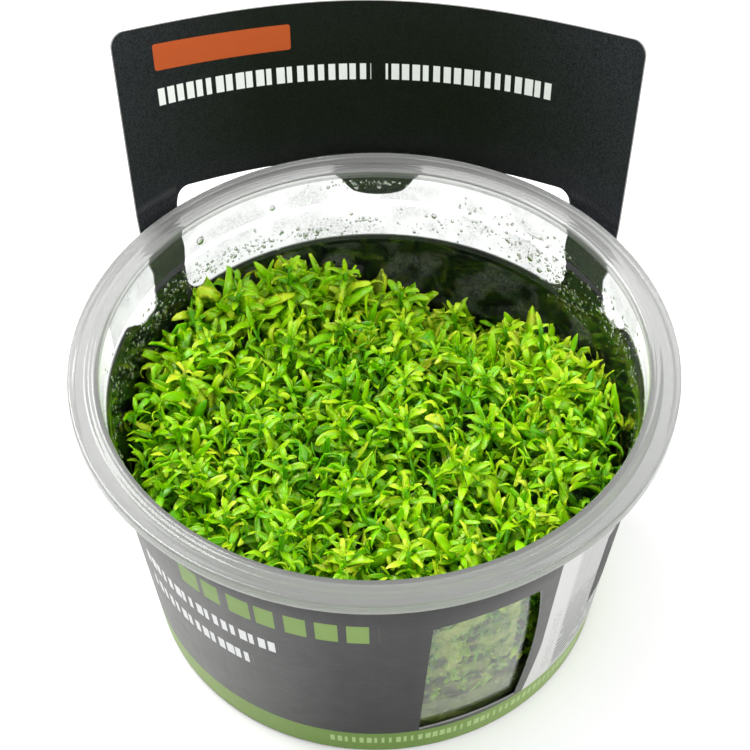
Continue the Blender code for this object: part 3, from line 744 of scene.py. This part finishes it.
def leaf_faces():
    """Faces of one closed leaf: the upper side, the under side, the tip and the base."""
    def top(station, row):
        return station * LEAF_ROWS + row
    tip = (LEAF_STATIONS - 1) * LEAF_ROWS
    def under(station):
        return tip + 1 + station
    quads = []
    corners = []
    for s in range(LEAF_STATIONS - 2):
        for row in range(LEAF_ROWS - 1):
            quads.append((top(s, row), top(s, row + 1), top(s + 1, row + 1), top(s + 1, row)))
        quads.append((top(s, 0), top(s + 1, 0), under(s + 1), under(s)))
        quads.append((top(s, LEAF_ROWS - 1), under(s), under(s + 1), top(s + 1, LEAF_ROWS - 1)))
    last = LEAF_STATIONS - 2
    for row in range(LEAF_ROWS - 1):
        corners.append((top(last, row), top(last, row + 1), tip))
    corners.append((top(last, 0), tip, under(last)))
    corners.append((top(last, LEAF_ROWS - 1), under(last), tip))
    half = LEAF_ROWS // 2
    quads.append((top(0, half), top(0, 1), top(0, 0), under(0)))
    quads.append((top(0, LEAF_ROWS - 1), top(0, LEAF_ROWS - 2), top(0, half), under(0)))
    return quads, corners


def leaf_half_width(s):
    """Share of the full half width along a leaf: a narrow foot, full sides and a rounded point."""
    foot = 0.30 + 0.70 * np.sin(np.pi / 2 * np.clip(s / 0.5, 0.0, 1.0))
    tip = (1.0 - np.clip((s - 0.44) / 0.56, 0.0, 1.0) ** 2.3) ** 0.7
    return foot * tip


def leaf_points(base, axis, outward, length, width, rise, curl, twist, channel):
    """Points of many leaves at once: each grows from its base, bends along its length and is channelled."""
    count = len(length)
    side = np.cross(axis, outward)
    s = np.array(LEAF_PLACES)
    angle = rise[:, None] - curl[:, None] * s[None, :] ** 1.5
    step = np.diff(s)
    middle_angle = (angle[:, 1:] + angle[:, :-1]) / 2
    out = np.concatenate([np.zeros((count, 1)), np.cumsum(np.cos(middle_angle) * step, 1)], 1)
    lift = np.concatenate([np.zeros((count, 1)), np.cumsum(np.sin(middle_angle) * step, 1)], 1)
    spine = base[:, None, :] + length[:, None, None] * (
        out[..., None] * outward[:, None, :] + lift[..., None] * axis[:, None, :])
    ahead = np.cos(angle)[..., None] * outward[:, None, :] + np.sin(angle)[..., None] * axis[:, None, :]
    sides = np.broadcast_to(side[:, None, :], ahead.shape)
    upper = np.cross(ahead, sides)
    turn = (twist[:, None] * (0.3 + s[None, :]))[..., None]
    across = sides * np.cos(turn) + upper * np.sin(turn)
    above = upper * np.cos(turn) - sides * np.sin(turn)
    half = width[:, None] / 2 * leaf_half_width(s)[None, :]
    rows = np.linspace(-1.0, 1.0, LEAF_ROWS)
    hollow = channel[:, None, None] * half[..., None] * (np.abs(rows) ** 1.6)[None, None, :]
    wave = np.sin(9.0 * s[None, :] + 25.0 * twist[:, None])[..., None] * rows[None, None, :]
    frill = np.sin(12.0 * s[None, :] + 13.0 * channel[:, None])[..., None] * np.abs(rows)[None, None, :]
    hollow = hollow + half[..., None] * (0.30 * wave + 0.22 * frill)
    top = (spine[:, :, None, :] + across[:, :, None, :] * (half[..., None] * rows)[..., None]
           + above[:, :, None, :] * hollow[..., None])
    thick = 0.00012 + 0.10 * half
    under = spine - above * thick[..., None]
    body = top[:, :-1].reshape(count, -1, 3)
    tip = spine[:, -1:, :]
    return np.concatenate([body, tip, under[:, :-1]], 1)


def keep_off_wall(points):
    """Leaves that reach the wall lie flat against it."""
    radius = np.hypot(points[:, 0], points[:, 1])
    z = points[:, 2]
    inner = np.where(z > STEP_HEIGHT, COLLAR_RADIUS, WALL_FOOT_RADIUS + WALL_TAPER * z - WALL_THICKNESS)
    limit = inner - WALL_ROOM
    factor = np.where(radius > limit, limit / np.maximum(radius, 1e-6), 1.0)
    points[:, 0] *= factor
    points[:, 1] *= factor
    return points


def square_ring(centre, half_width):
    """Four points round the middle of a thin stem or root."""
    turns = [pi / 2 * k for k in range(4)]
    return [(centre[0] + half_width * cos(turn), centre[1] + half_width * sin(turn), centre[2])
            for turn in turns]


def tube_faces(first, rings):
    """Faces of a closed tube that climbs from one ring of four points to the next."""
    faces = []
    for low in range(first, first + 4 * (rings - 1), 4):
        for k in range(4):
            n = (k + 1) % 4
            faces.append((low + k, low + n, low + 4 + n, low + 4 + k))
    last = first + 4 * (rings - 1)
    return faces + [tuple(first + k for k in (3, 2, 1, 0)), tuple(last + k for k in range(4))]


class Foliage:
    """Collects leaves and stems, and turns them into one piece."""

    def __init__(self):
        self.leaves = []
        self.stems = []

    def leaf(self, base, axis, outward, length, width, rise, curl, twist, channel, tone):
        self.leaves.append((*base, *axis, *outward, length, width, rise, curl, twist, channel, tone))

    def stem(self, points, half_width, tone):
        self.stems.append((points, half_width, tone))

    def piece(self, name, material):
        rows = np.array(self.leaves)
        points = leaf_points(rows[:, 0:3], rows[:, 3:6], rows[:, 6:9], *rows[:, 9:15].T)
        count, each = points.shape[:2]
        start = (np.arange(count) * each)[:, None, None]
        faces = []
        for kind in leaf_faces():
            faces += (np.array(kind)[None] + start).reshape(-1, len(kind[0])).tolist()
        along = np.concatenate([np.repeat(LEAF_PLACES[:-1], LEAF_ROWS), [1.0], LEAF_PLACES[:-1]])
        across = np.concatenate([np.tile(np.abs(np.linspace(-1, 1, LEAF_ROWS)), LEAF_STATIONS - 1), [0.0],
                                 np.full(LEAF_STATIONS - 1, 0.5)])
        stem_verts = []
        stem_tones = []
        for path, half_width, tone in self.stems:
            faces += tube_faces(count * each + len(stem_verts), len(path))
            for point in path:
                stem_verts += square_ring(point, half_width)
            stem_tones += [tone] * (4 * len(path))
        bare = len(stem_verts)
        verts = keep_off_wall(np.concatenate([points.reshape(-1, 3), np.array(stem_verts)]))
        thing = mesh_piece(name, verts.tolist(), faces, material)
        point_layer(thing, "leaf_tone", np.concatenate([np.repeat(rows[:, 15], each), stem_tones]))
        point_layer(thing, "leaf_along", np.concatenate([np.tile(along, count), np.zeros(bare)]))
        point_layer(thing, "leaf_across", np.concatenate([np.tile(across, count), np.full(bare, 0.5)]))
        return thing


# place of each tone and its colour, from old to young
LEAF_TONES = (
    (0.0, (0.014, 0.100, 0.001)),
    (0.35, (0.052, 0.265, 0.001)),
    (0.62, (0.130, 0.440, 0.001)),
    (0.85, (0.310, 0.640, 0.002)),
    (0.95, (0.530, 0.720, 0.020)),
)
PALEST_TONE = 0.94


def leaf_green():
    """Glossy leaf: deep green when old, bright yellow-green when young, paler along the midrib."""
    look = Look("leaf_green")
    tone = look.attribute("leaf_tone")
    along = look.attribute("leaf_along")
    ramp = look.add("ShaderNodeValToRGB")
    stops = ramp.color_ramp.elements
    stops.remove(stops[1])
    for i, (place, colour) in enumerate(LEAF_TONES):
        stop = stops[0] if i == 0 else stops.new(place)
        stop.position = place
        stop.color = (*colour, 1.0)
    lifted = look.maths("ADD", tone, look.uneven(420.0, 3.0, 0.3, 0.7, -0.07, 0.07))
    lifted = look.maths("ADD", lifted, look.spread(along, 0.0, 1.0, -0.05, 0.07))
    look.put(look.maths("MINIMUM", lifted, look.maths("MAXIMUM", tone, 0.93)), ramp.inputs["Fac"])
    midrib = look.spread(look.attribute("leaf_across"), 0.0, 0.22, 0.35, 0.0)
    colour = look.paint(ramp.outputs["Color"], (0.30, 0.62, 0.01), midrib)
    pale = look.times(look.uneven(240.0, 2.0, 0.55, 0.70),
                      look.spread(along, 0.3, 1.0, 0.0, 0.7))
    colour = look.paint(colour, (0.60, 0.74, 0.04), pale)
    aged = look.uneven(155.0, 2.0, 0.66, 0.74, 0.0, 0.5)
    look.set(Base_Color=look.paint(colour, (0.48, 0.34, 0.03), aged),
             Roughness=look.uneven(900.0, 2.0, 0.3, 0.7, 0.16, 0.40),
             Specular_IOR_Level=0.30, Subsurface_Weight=0.50, Subsurface_Scale=0.0006,
             Subsurface_Radius=(0.50, 1.0, 0.10))
    look.bump(look.grain(1100.0, 2.0), 0.25, 0.0002)
    return look.material


LEAF_GREEN = leaf_green()
# length in metres and rise in degrees of each pair of leaves from the tip down
PAIR_LENGTHS = (0.0043, 0.0058, 0.0069, 0.0073, 0.0071, 0.0066)
PAIR_RISES = (66.0, 54.0, 40.0, 26.0, 12.0, 0.0)
PAIR_PITCH = 0.0018
STEM_HALF_WIDTH = 0.00032
# spots in the canopy where the leaves are larger and curl, and how far they reach
CURLY_PLACES = ((-0.015, 0.033), (-0.026, 0.030), (-0.003, 0.032), (0.031, 0.018), (-0.036, 0.010))
CURLY_REACH = 0.0085
CURLY_SIZE = 1.42
SHOOTS = 470
SHOOT_LEAN = 62.0
MAT_RADIUS = 0.0412
GOLDEN_TURN = pi * (3 - sqrt(5))
SECTORS = ("front_left", "front_right", "back_right", "back_left")


def grow_shoot(foliage, rng, tip, axis, pairs, scale, tone, curly):
    """One shoot from its tip down: crosswise pairs of leaves, small and steep at the tip."""
    across = axis.orthogonal().normalized()
    turn = rng.uniform(0, tau)
    drop = 0.0
    for k in range(pairs):
        at = tip - axis * drop
        for j in range(3 if rng.random() < 0.18 else 2):
            spin = turn + k * pi / 2 + j * pi + rng.uniform(-0.6, 0.6)
            outward = Matrix.Rotation(spin, 3, axis) @ across
            length = PAIR_LENGTHS[k] * scale * rng.uniform(0.62, 1.18)
            width = length * rng.uniform(0.20, 0.32)
            rise = radians(PAIR_RISES[k] + rng.uniform(-26, 26))
            curl = rng.uniform(0.2, 2.6) if rng.random() > curly else rng.uniform(2.6, 4.4)
            shade = tone - 0.085 * k + rng.uniform(-0.11, 0.11)
            if rng.random() < 0.01:
                # now and then a leaf has the palest tone
                shade = rng.uniform(0.95, 1.0)
            foliage.leaf(at, axis, outward, length, width, rise, curl, rng.gauss(0, 0.7),
                         rng.uniform(-0.3, 0.7), min(max(shade, 0.0), PALEST_TONE))
        drop += PAIR_PITCH * scale * (1 + 0.22 * k) * rng.uniform(0.8, 1.3)
    foot = tip - axis * (drop + 0.004)
    foliage.stem([foot, foot.lerp(tip, 0.5), tip], STEM_HALF_WIDTH, max(tone - 0.25, 0.05))


def shoot_axis(rng, x, y):
    """Direction of a shoot that stands at x, y: any way in the middle, inward at the wall."""
    direction = rng.uniform(0, tau)
    tilt = sin(radians(SHOOT_LEAN) * sqrt(rng.random()))
    axis = Vector((cos(direction) * tilt, sin(direction) * tilt, 1.0))
    reach = hypot(x, y)
    if reach > 0.030:
        axis -= Vector((x, y, 0)) / reach * 0.35 * (reach - 0.030) / 0.010
    return axis.normalized()


def from_curly_place(x, y):
    """Distance to the nearest spot where the leaves curl."""
    return min(hypot(x - a, y - b) for a, b in CURLY_PLACES)


rng = random.Random(11)
foliage = {sector: Foliage() for sector in SECTORS}
for i in range(SHOOTS):
    reach = MAT_RADIUS * sqrt((i + 0.5) / SHOOTS)
    angle = i * GOLDEN_TURN + rng.uniform(-0.02, 0.02)
    x = reach * cos(angle) + rng.uniform(-0.0008, 0.0008)
    y = reach * sin(angle) + rng.uniform(-0.0008, 0.0008)
    wave = sin(x * 310 + 1.0) * sin(y * 270 + 2.0) * 0.0011
    height = float(canopy_height(x, y)) + wave + rng.uniform(-0.0034, 0.0012)
    axis = shoot_axis(rng, x, y)
    curled = from_curly_place(x, y) < CURLY_REACH
    sector = SECTORS[int(((angle + pi) % tau) // (pi / 2)) % 4]
    # the leaves pale towards the wall, less so on the left, and a little towards the back
    paler = 0.12 * min(max((reach - 0.014) / 0.012, 0.0), 1.0) * (1.0 - 0.6 * max(-cos(angle), 0.0))
    paler += 0.05 * max(sin(angle), 0.0)
    size = rng.uniform(0.85, 1.15) * (CURLY_SIZE if curled else 1.0)
    grow_shoot(foliage[sector], rng, Vector((x, y, height)), axis, 6 if rng.random() < 0.4 else 5, size,
               rng.uniform(0.58, 0.83) + paler, 0.62 if curled else 0.20)
for sector in SECTORS:
    piece = foliage[sector].piece("foliage_" + sector, LEAF_GREEN)
    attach(piece, "root")


# Plants, behind the window
# Where the card is cut away, leafy stems press against the wall all the way down to the jelly,
# and fine pale roots run from them into it.

WALL_SHOOTS = 64
WALL_PAIRS = 9
WALL_TOP_SPANS = ((-0.004, 0.004), (-0.002, 0.004), (0.018, 0.026))
ROOTS = 90
ROOTS_IN_WINDOW = 60
ROOT_RINGS = 9
ROOT_REACH = 0.0385


def grow_wall_shoots():
    """Stems near the wall from the front round to the right, with leaves all the way down."""
    rng = random.Random(31)
    behind = Foliage()
    for _ in range(WALL_SHOOTS):
        angle = radians(rng.uniform(-2.0, 44.0))
        reach = rng.uniform(0.0345, 0.0398)
        foot = Vector((reach * sin(angle), -reach * cos(angle), JELLY_HEIGHT - 0.002))
        top = foot + Vector([rng.uniform(*span) for span in WALL_TOP_SPANS])
        axis = (top - foot).normalized()
        across = axis.orthogonal().normalized()
        turn = rng.uniform(0, tau)
        tone = rng.uniform(0.62, 0.90)
        for k in range(WALL_PAIRS):
            at = foot.lerp(top, (k + 1.5) / (WALL_PAIRS + 0.5))
            for j in range(2):
                spin = turn + k * pi / 2 + j * pi + rng.uniform(-0.5, 0.5)
                outward = Matrix.Rotation(spin, 3, axis) @ across
                length = rng.uniform(0.0035, 0.0058)
                width = length * rng.uniform(0.25, 0.36)
                behind.leaf(at, axis, outward, length, width, rng.uniform(-0.3, 0.9),
                            rng.uniform(-0.6, 1.8), rng.gauss(0, 0.5), rng.uniform(0.2, 0.8),
                            min(tone + rng.uniform(-0.12, 0.10), 0.95))
        behind.stem([foot, foot.lerp(top, 0.5), top], 0.00035, 0.45)
    piece = behind.piece("foliage_window", LEAF_GREEN)
    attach(piece, "root")


def grow_roots():
    """Thin roots that wander down through the jelly near the wall."""
    rng = random.Random(17)
    verts = []
    faces = []
    for number in range(ROOTS):
        spread = (-10.0, 50.0) if number < ROOTS_IN_WINDOW else (50.0, 350.0)
        angle = radians(rng.uniform(*spread))
        reach = rng.uniform(0.033, ROOT_REACH)
        height = JELLY_HEIGHT - 0.0012
        drift = rng.uniform(-0.05, 0.05)
        half_width = rng.uniform(0.00012, 0.00022)
        faces += [face[::-1] for face in tube_faces(len(verts), ROOT_RINGS)]
        for i in range(ROOT_RINGS):
            centre = (reach * sin(angle), -reach * cos(angle), height)
            verts += square_ring(centre, half_width * (1 - 0.07 * i))
            drift += rng.uniform(-0.03, 0.03)
            angle += drift
            reach = min(max(reach + rng.uniform(-0.0007, 0.0007), 0.030), ROOT_REACH)
            height = max(height - rng.uniform(0.0004, 0.0017), 0.0020 + 0.0002 * (ROOT_RINGS - i))
    pale_root = mottled("pale_root", 0.4, (0.46, 0.50, 0.20), (0.66, 0.68, 0.40), 500.0, 2.0)
    piece = mesh_piece("roots", verts, faces, pale_root)
    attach(piece, "root")


grow_wall_shoots()
grow_roots()


# Plants, dense middle
# Under the leaf tips the stems and lower leaves close up into one mass down to the jelly, coloured dark
# with painted shade.

MASS_STEPS = 72
MASS_RINGS = 16
MASS_DEPTH = 0.0085
MASS_SHOULDER = 0.004


def dark_mass(material):
    """A closed lumpy body from just over the jelly up to a little under the leaf tips."""
    rng = random.Random(5)
    foot = JELLY_HEIGHT + JELLY_GAP
    radius = wall_inner_radius(JELLY_HEIGHT) - 0.0012
    turns = [tau * n / MASS_STEPS for n in range(MASS_STEPS)]
    verts = [(0.0, 0.0, foot), (0.0, 0.0, CANOPY_HEIGHT - MASS_DEPTH)]
    for k in range(1, MASS_RINGS + 1):
        reach = radius * k / MASS_RINGS
        down = MASS_SHOULDER if k == MASS_RINGS else 0.0
        for turn in turns:
            x, y = reach * cos(turn), reach * sin(turn)
            z = float(canopy_height(x, y)) - MASS_DEPTH + rng.uniform(-0.0010, 0.0010) - down
            verts.append((x, y, z))
    verts += [(radius * cos(turn), radius * sin(turn), foot) for turn in turns]
    rows = [2 + row * MASS_STEPS for row in range(MASS_RINGS + 1)]
    faces = []
    for n in range(MASS_STEPS):
        m = (n + 1) % MASS_STEPS
        faces.append((1, rows[0] + n, rows[0] + m))
        faces.append((0, rows[-1] + m, rows[-1] + n))
        for inner, outer in zip(rows, rows[1:]):
            faces.append((inner + n, outer + n, outer + m, inner + m))
    return mesh_piece("stem_mass", verts, faces, material)


def shaded_green():
    """Crowded stems and old leaves in deep shade, streaked upright."""
    look = Look("shaded_green")
    stretch = look.add("ShaderNodeMapping", [("Vector", look.place), ("Scale", (1.0, 1.0, 0.3))])
    streak = look.grain(700.0, 2.0, stretch.outputs[0])
    look.set(Roughness=0.6,
             Base_Color=look.paint((0.008, 0.030, 0.003), (0.060, 0.150, 0.012),
                                   look.spread(streak, 0.42, 0.66)))
    look.bump(streak, 0.9, 0.001)
    return look.material


mass = dark_mass(shaded_green())
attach(mass, "root")
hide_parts("plant_mat")


# Plants, tall sprigs
# Single stems stand a little proud of the canopy, with longer leaves that catch the light.

# share of the height, rise in degrees and length of each pair of leaves
SPRIG_PAIRS = ((0.34, 12.0, 0.0052), (0.52, 24.0, 0.0052), (0.70, 36.0, 0.0048), (0.86, 50.0, 0.0040),
               (0.97, 68.0, 0.0028))
SPRIG_STEM = 0.00042
SPRIG_CURLY_REACH = 0.009
UP = Vector((0, 0, 1))


def sprig_frame(node):
    """Foot, top and first leaf direction of a sprig, from the place of its solid."""
    low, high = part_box(node)
    corners = [v.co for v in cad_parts[node].data.vertices]
    feet = [c for c in corners if c.z < low.z + 0.0002]
    foot = sum(feet, Vector()) / len(feet)
    far = max(corners, key=lambda c: (c.xy - foot.xy).length)
    return foot, high.z, atan2(far.y - foot.y, far.x - foot.x)


def grow_sprig(node, number):
    """A finer sprig with the same foot, height and leaf directions as its solid."""
    rng = random.Random(100 + number)
    foot, top, turn = sprig_frame(node)
    foliage = Foliage()
    height = top - foot.z - 0.0020
    inward = -Vector((foot.x, foot.y, 0)) / 0.040 * 0.0012
    tone = rng.uniform(0.60, 0.78)
    path = [foot + Vector((0, 0, height * t)) + inward * t * t for t in (0.0, 0.35, 0.7, 1.0)]
    foliage.stem(path, SPRIG_STEM, tone - 0.2)
    curly = 0.6 if from_curly_place(foot.x, foot.y) < SPRIG_CURLY_REACH else 0.15
    for level, (t, rise, length) in enumerate(SPRIG_PAIRS):
        at = foot + Vector((0, 0, height * t)) + inward * t * t
        for j in range(2):
            spin = turn + level * pi / 2 + j * pi + rng.uniform(-0.35, 0.35)
            outward = Vector((cos(spin), sin(spin), 0))
            grown = length * rng.uniform(0.85, 1.15)
            curl = rng.uniform(1.8, 3.8) if rng.random() < curly else rng.uniform(-0.2, 1.8)
            foliage.leaf(at, UP, outward, grown, grown * rng.uniform(0.25, 0.34),
                         radians(rise + rng.uniform(-10, 10)), curl, rng.gauss(0, 0.35),
                         rng.uniform(0.3, 0.8),
                         min(tone + 0.03 * level + rng.uniform(-0.06, 0.06), PALEST_TONE))
    piece = foliage.piece("young_" + node, LEAF_GREEN)
    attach(piece, "root")
    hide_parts(node)


for number in range(1, 37):
    grow_sprig(f"sprig_{number:02d}", number)


# Condensation
# Damp air in the tub has settled on the cool clear wall: clusters of fine drops, a few bigger
# ones, and a thin even mist low on the wall behind the window.

DROP_SIDES = 8
DROP_RINGS = ((90.0, 1.0), (58.0, 0.85), (28.0, 0.47))
DROP_LIFT = 0.55
DROP_SAG = 1.25
DROPS_FROM = 0.041
DROPS_TO = 0.0555
SMALLEST_DROP = 0.00011
DROP_RANGE = 0.00030
# azimuth from the back, height in mm, spread in degrees, rise in mm, and number of drops
DROP_CLUSTERS = (
    (-82.0, 45.5, 9.0, 2.2, 80), (-66.0, 46.0, 8.0, 2.0, 90), (-52.0, 47.0, 7.0, 1.6, 90),
    (-36.0, 46.6, 8.0, 0.9, 110), (-20.0, 45.6, 8.0, 0.8, 90), (-4.0, 46.0, 9.0, 1.2, 50),
    (-3.0, 54.6, 6.0, 0.5, 60), (14.0, 46.5, 8.0, 1.6, 40), (31.0, 50.0, 7.0, 1.8, 80),
    (41.0, 48.6, 5.0, 2.2, 110), (51.0, 46.0, 3.5, 2.4, 110), (57.0, 43.6, 3.0, 1.8, 60),
    (68.0, 48.6, 5.0, 1.6, 80), (79.0, 49.5, 6.0, 1.6, 90), (100.0, 49.0, 14.0, 1.6, 70),
    (-104.0, 48.5, 14.0, 1.8, 70),
)
# azimuth from the back, height and size in mm
BIG_DROPS = (
    (-43.5, 52.4, 0.9), (-24.0, 52.3, 0.6), (15.0, 48.7, 0.6), (41.0, 47.0, 0.75), (65.5, 48.2, 0.7),
    (-70.0, 44.5, 0.7), (-62.0, 46.0, 0.6), (-78.0, 42.5, 0.7), (44.0, 45.5, 0.6),
)


def water():
    """Clear water."""
    look = Look("clear_water")
    look.set(Base_Color=(0.74, 0.76, 0.72), IOR=1.33, Transmission_Weight=0.94, Specular_IOR_Level=0.3,
             Roughness=look.uneven(800.0, 2.0, 0.3, 0.7, 0.0, 0.04))
    look.let_lamps_through((0.95, 0.96, 0.96))
    return look.material


def drop_verts(azimuth, z, size):
    """Rings and top of one low dome on the inside of the wall, longer downwards."""
    angle = radians(azimuth)
    out = Vector((sin(angle), cos(angle), 0.0))
    along = Vector((out.y, -out.x, 0.0))
    seat = out * (wall_inner_radius(z) - 0.00002) + Vector((0, 0, z))
    verts = []
    for polar, share in DROP_RINGS:
        lift = size * DROP_LIFT * cos(radians(polar))
        for k in range(DROP_SIDES):
            turn = tau * k / DROP_SIDES
            down = DROP_SAG if sin(turn) < 0 else 1.0
            verts.append(seat - out * lift + along * cos(turn) * size * share
                         + Vector((0, 0, sin(turn) * size * share * down)))
    return verts + [seat - out * size * DROP_LIFT]


def drop_faces():
    """Faces of one drop: between its rings, over the top, and flat against the wall."""
    faces = []
    top = (len(DROP_RINGS) - 1) * DROP_SIDES
    pairs = [(k, (k + 1) % DROP_SIDES) for k in range(DROP_SIDES)]
    for low in range(0, top, DROP_SIDES):
        faces += [(low + k, low + DROP_SIDES + k, low + DROP_SIDES + n, low + n) for k, n in pairs]
    faces += [(top + k, top + DROP_SIDES, top + n) for k, n in pairs]
    return faces + [tuple(range(DROP_SIDES))]


def settle_drops():
    """Clusters of fine drops and a few bigger ones on the inside of the wall."""
    rng = random.Random(43)
    places = []
    for azimuth, height, spread, rise, count in DROP_CLUSTERS:
        for _ in range(count):
            size = SMALLEST_DROP + DROP_RANGE * rng.random() ** 2.4
            places.append((rng.gauss(azimuth, spread), height * 0.001 + rng.gauss(0, rise) * 0.001, size))
    places += [(azimuth, height * 0.001, size * 0.001) for azimuth, height, size in BIG_DROPS]
    verts = []
    faces = []
    one_drop = drop_faces()
    for place in places:
        if DROPS_FROM < place[1] < DROPS_TO:
            faces += [tuple(len(verts) + i for i in face) for face in one_drop]
            verts += drop_verts(*place)
    piece = mesh_piece("condensation_drops", verts, faces, water())
    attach(piece, "root")


def wall_film(name, columns, rows, turn, heights, material):
    """A thin closed skin that lies on the inside of the wall between two azimuths and two heights."""
    verts = []
    for depth in (0.00004, 0.00010):
        for row in range(rows + 1):
            z = heights[0] + (heights[1] - heights[0]) * row / rows
            for column in range(columns + 1):
                angle = radians(turn[0] + (turn[1] - turn[0]) * column / columns)
                radius = wall_inner_radius(z) - depth
                verts.append((radius * sin(angle), -radius * cos(angle), z))
    wide = columns + 1
    layer = wide * (rows + 1)
    faces = []
    for row in range(rows):
        for a in range(row * wide, row * wide + columns):
            b = a + wide
            faces.append((a, a + 1, b + 1, b))
            faces.append((layer + a, layer + b, layer + b + 1, layer + a + 1))
    border = list(range(wide))
    border += [row * wide + columns for row in range(1, rows + 1)]
    border += [rows * wide + column for column in range(columns - 1, -1, -1)]
    border += [row * wide for row in range(rows - 1, 0, -1)]
    for a, b in zip(border, border[1:] + border[:1]):
        faces.append((b, a, layer + a, layer + b))
    piece = mesh_piece(name, verts, faces, material)
    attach(piece, "root")


def window_mist():
    """Very fine drops behind the window, thick above the jelly, with the green light of the leaves behind
    them painted into their colour.
    """
    look = Look("window_mist")
    upper = look.spread(look.axis("Z"), 0.012, 0.030)
    blotches = look.grain(300.0, 4.0)
    thin = look.spread(blotches, 0.45, 0.56, 0.0, 0.12)
    thick = look.spread(blotches, 0.45, 0.56, 0.02, 0.45)
    cover = look.maths("ADD", thin, look.times(upper, look.maths("SUBTRACT", thick, thin)))
    speckle = look.uneven(2600.0, 2.0, 0.4, 0.62, 0.6, 1.0)
    # painted light: the drops' colour is the green of the leaves seen through them
    tint = look.uneven(190.0, 2.0, 0.38, 0.62)
    look.set(Roughness=0.5, Specular_IOR_Level=0.3, Alpha=look.times(cover, speckle),
             Base_Color=look.paint((0.30, 0.42, 0.05), (0.62, 0.71, 0.18), tint))
    return look.material


def back_mist(name, even, patched, tint):
    """A grey bloom on the wall at the back: an even share and a patchy share of it."""
    look = Look(name)
    patches = look.uneven(170.0, 3.0, 0.46, 0.62, 0.0, patched)
    speckle = look.uneven(2600.0, 2.0, 0.42, 0.60, 0.25, 1.0)
    look.set(Roughness=0.5, Specular_IOR_Level=0.3, Base_Color=tint,
             Alpha=look.maths("ADD", look.times(patches, speckle), even))
    return look.material


settle_drops()
# azimuths of the films count from the front
wall_film("window_mist", 40, 14, (3.0, 32.4), (0.0068, 0.0470), window_mist())
slot_bloom = back_mist("slot_bloom", 0.13, 0.12, (0.12, 0.13, 0.12))
band_bloom = back_mist("band_bloom", 0.0, 0.12, (0.40, 0.42, 0.38))
wall_film("slot_mist", 96, 6, (129.0, 231.0), (0.0424, 0.0499), slot_bloom)
wall_film("collar_mist", 96, 4, (100.0, 260.0), (0.0508, 0.0566), slot_bloom)
wall_film("band_mist", 96, 6, (108.0, 252.0), (0.0280, 0.0415), band_bloom)


# Floor, light and camera
# A plain white floor and wide soft lamps, with the camera where the photograph was taken from.

FLOOR_REACH = 4.0
FLOOR_LEVEL = -0.0002
SKY_STRENGTH = (0.60, 1.10)
LAMP_SIZE = 0.50
LAMP_TARGET = (0.0, 0.0, 0.04)
CAMERA_TARGET = Vector((0.00013, 0.0, 0.052075))
CAMERA_DISTANCE = 0.292431
CAMERA_ELEVATION = radians(47.98967)
CAMERA_ROLL = radians(-0.594)

sides = ((-1, -1), (1, -1), (1, 1), (-1, 1))
plain_floor = mottled("plain_floor", 0.9, (0.90, 0.90, 0.90), (0.885, 0.885, 0.885), 3.0, 2.0)
floor = mesh_piece("floor", [(FLOOR_REACH * x, FLOOR_REACH * y, FLOOR_LEVEL) for x, y in sides],
                   [(0, 1, 2, 3)], plain_floor, smooth=False)

scene = bpy.context.scene
scene.view_settings.view_transform = "Standard"
world = bpy.data.worlds.new("studio")
scene.world = world
world.use_nodes = True
sky = world.node_tree
sky_place = sky.nodes.new("ShaderNodeTexCoord")
sky_height = sky.nodes.new("ShaderNodeSeparateXYZ")
sky_ramp = sky.nodes.new("ShaderNodeMapRange")
sky.links.new(sky_place.outputs["Generated"], sky_height.inputs[0])
sky.links.new(sky_height.outputs["Z"], sky_ramp.inputs["Value"])
sky_ramp.inputs["To Min"].default_value, sky_ramp.inputs["To Max"].default_value = SKY_STRENGTH
sky.links.new(sky_ramp.outputs["Result"], sky.nodes["Background"].inputs["Strength"])
sky.nodes["Background"].inputs["Color"].default_value = (1.0, 1.0, 1.0, 1.0)


def soft_lamp(name, place, power):
    """A square soft lamp that points at the object."""
    light = bpy.data.lights.new(name, "AREA")
    light.shape = "SQUARE"
    light.size = LAMP_SIZE
    light.energy = power
    lamp = bpy.data.objects.new(name, light)
    lamp.location = place
    lamp.rotation_euler = (Vector(LAMP_TARGET) - Vector(place)).to_track_quat("-Z", "Y").to_euler()
    scene.collection.objects.link(lamp)


soft_lamp("key_lamp", (-0.40, 0.30, 0.70), 7.6)
soft_lamp("fill_lamp", (0.45, -0.35, 0.55), 3.2)

camera_data = bpy.data.cameras.new("camera")
camera_data.sensor_width = 36.0
camera_data.lens = 83.6
camera_data.clip_start = 0.01
camera = bpy.data.objects.new("camera", camera_data)
scene.collection.objects.link(camera)
away = Vector((0, -cos(CAMERA_ELEVATION), sin(CAMERA_ELEVATION)))
camera.location = CAMERA_TARGET + away * CAMERA_DISTANCE
aim = (CAMERA_TARGET - camera.location).to_track_quat("-Z", "Y")
camera.rotation_mode = "QUATERNION"
camera.rotation_quaternion = (aim.to_matrix() @ Matrix.Rotation(CAMERA_ROLL, 3, "Z")).to_quaternion()
scene.camera = camera
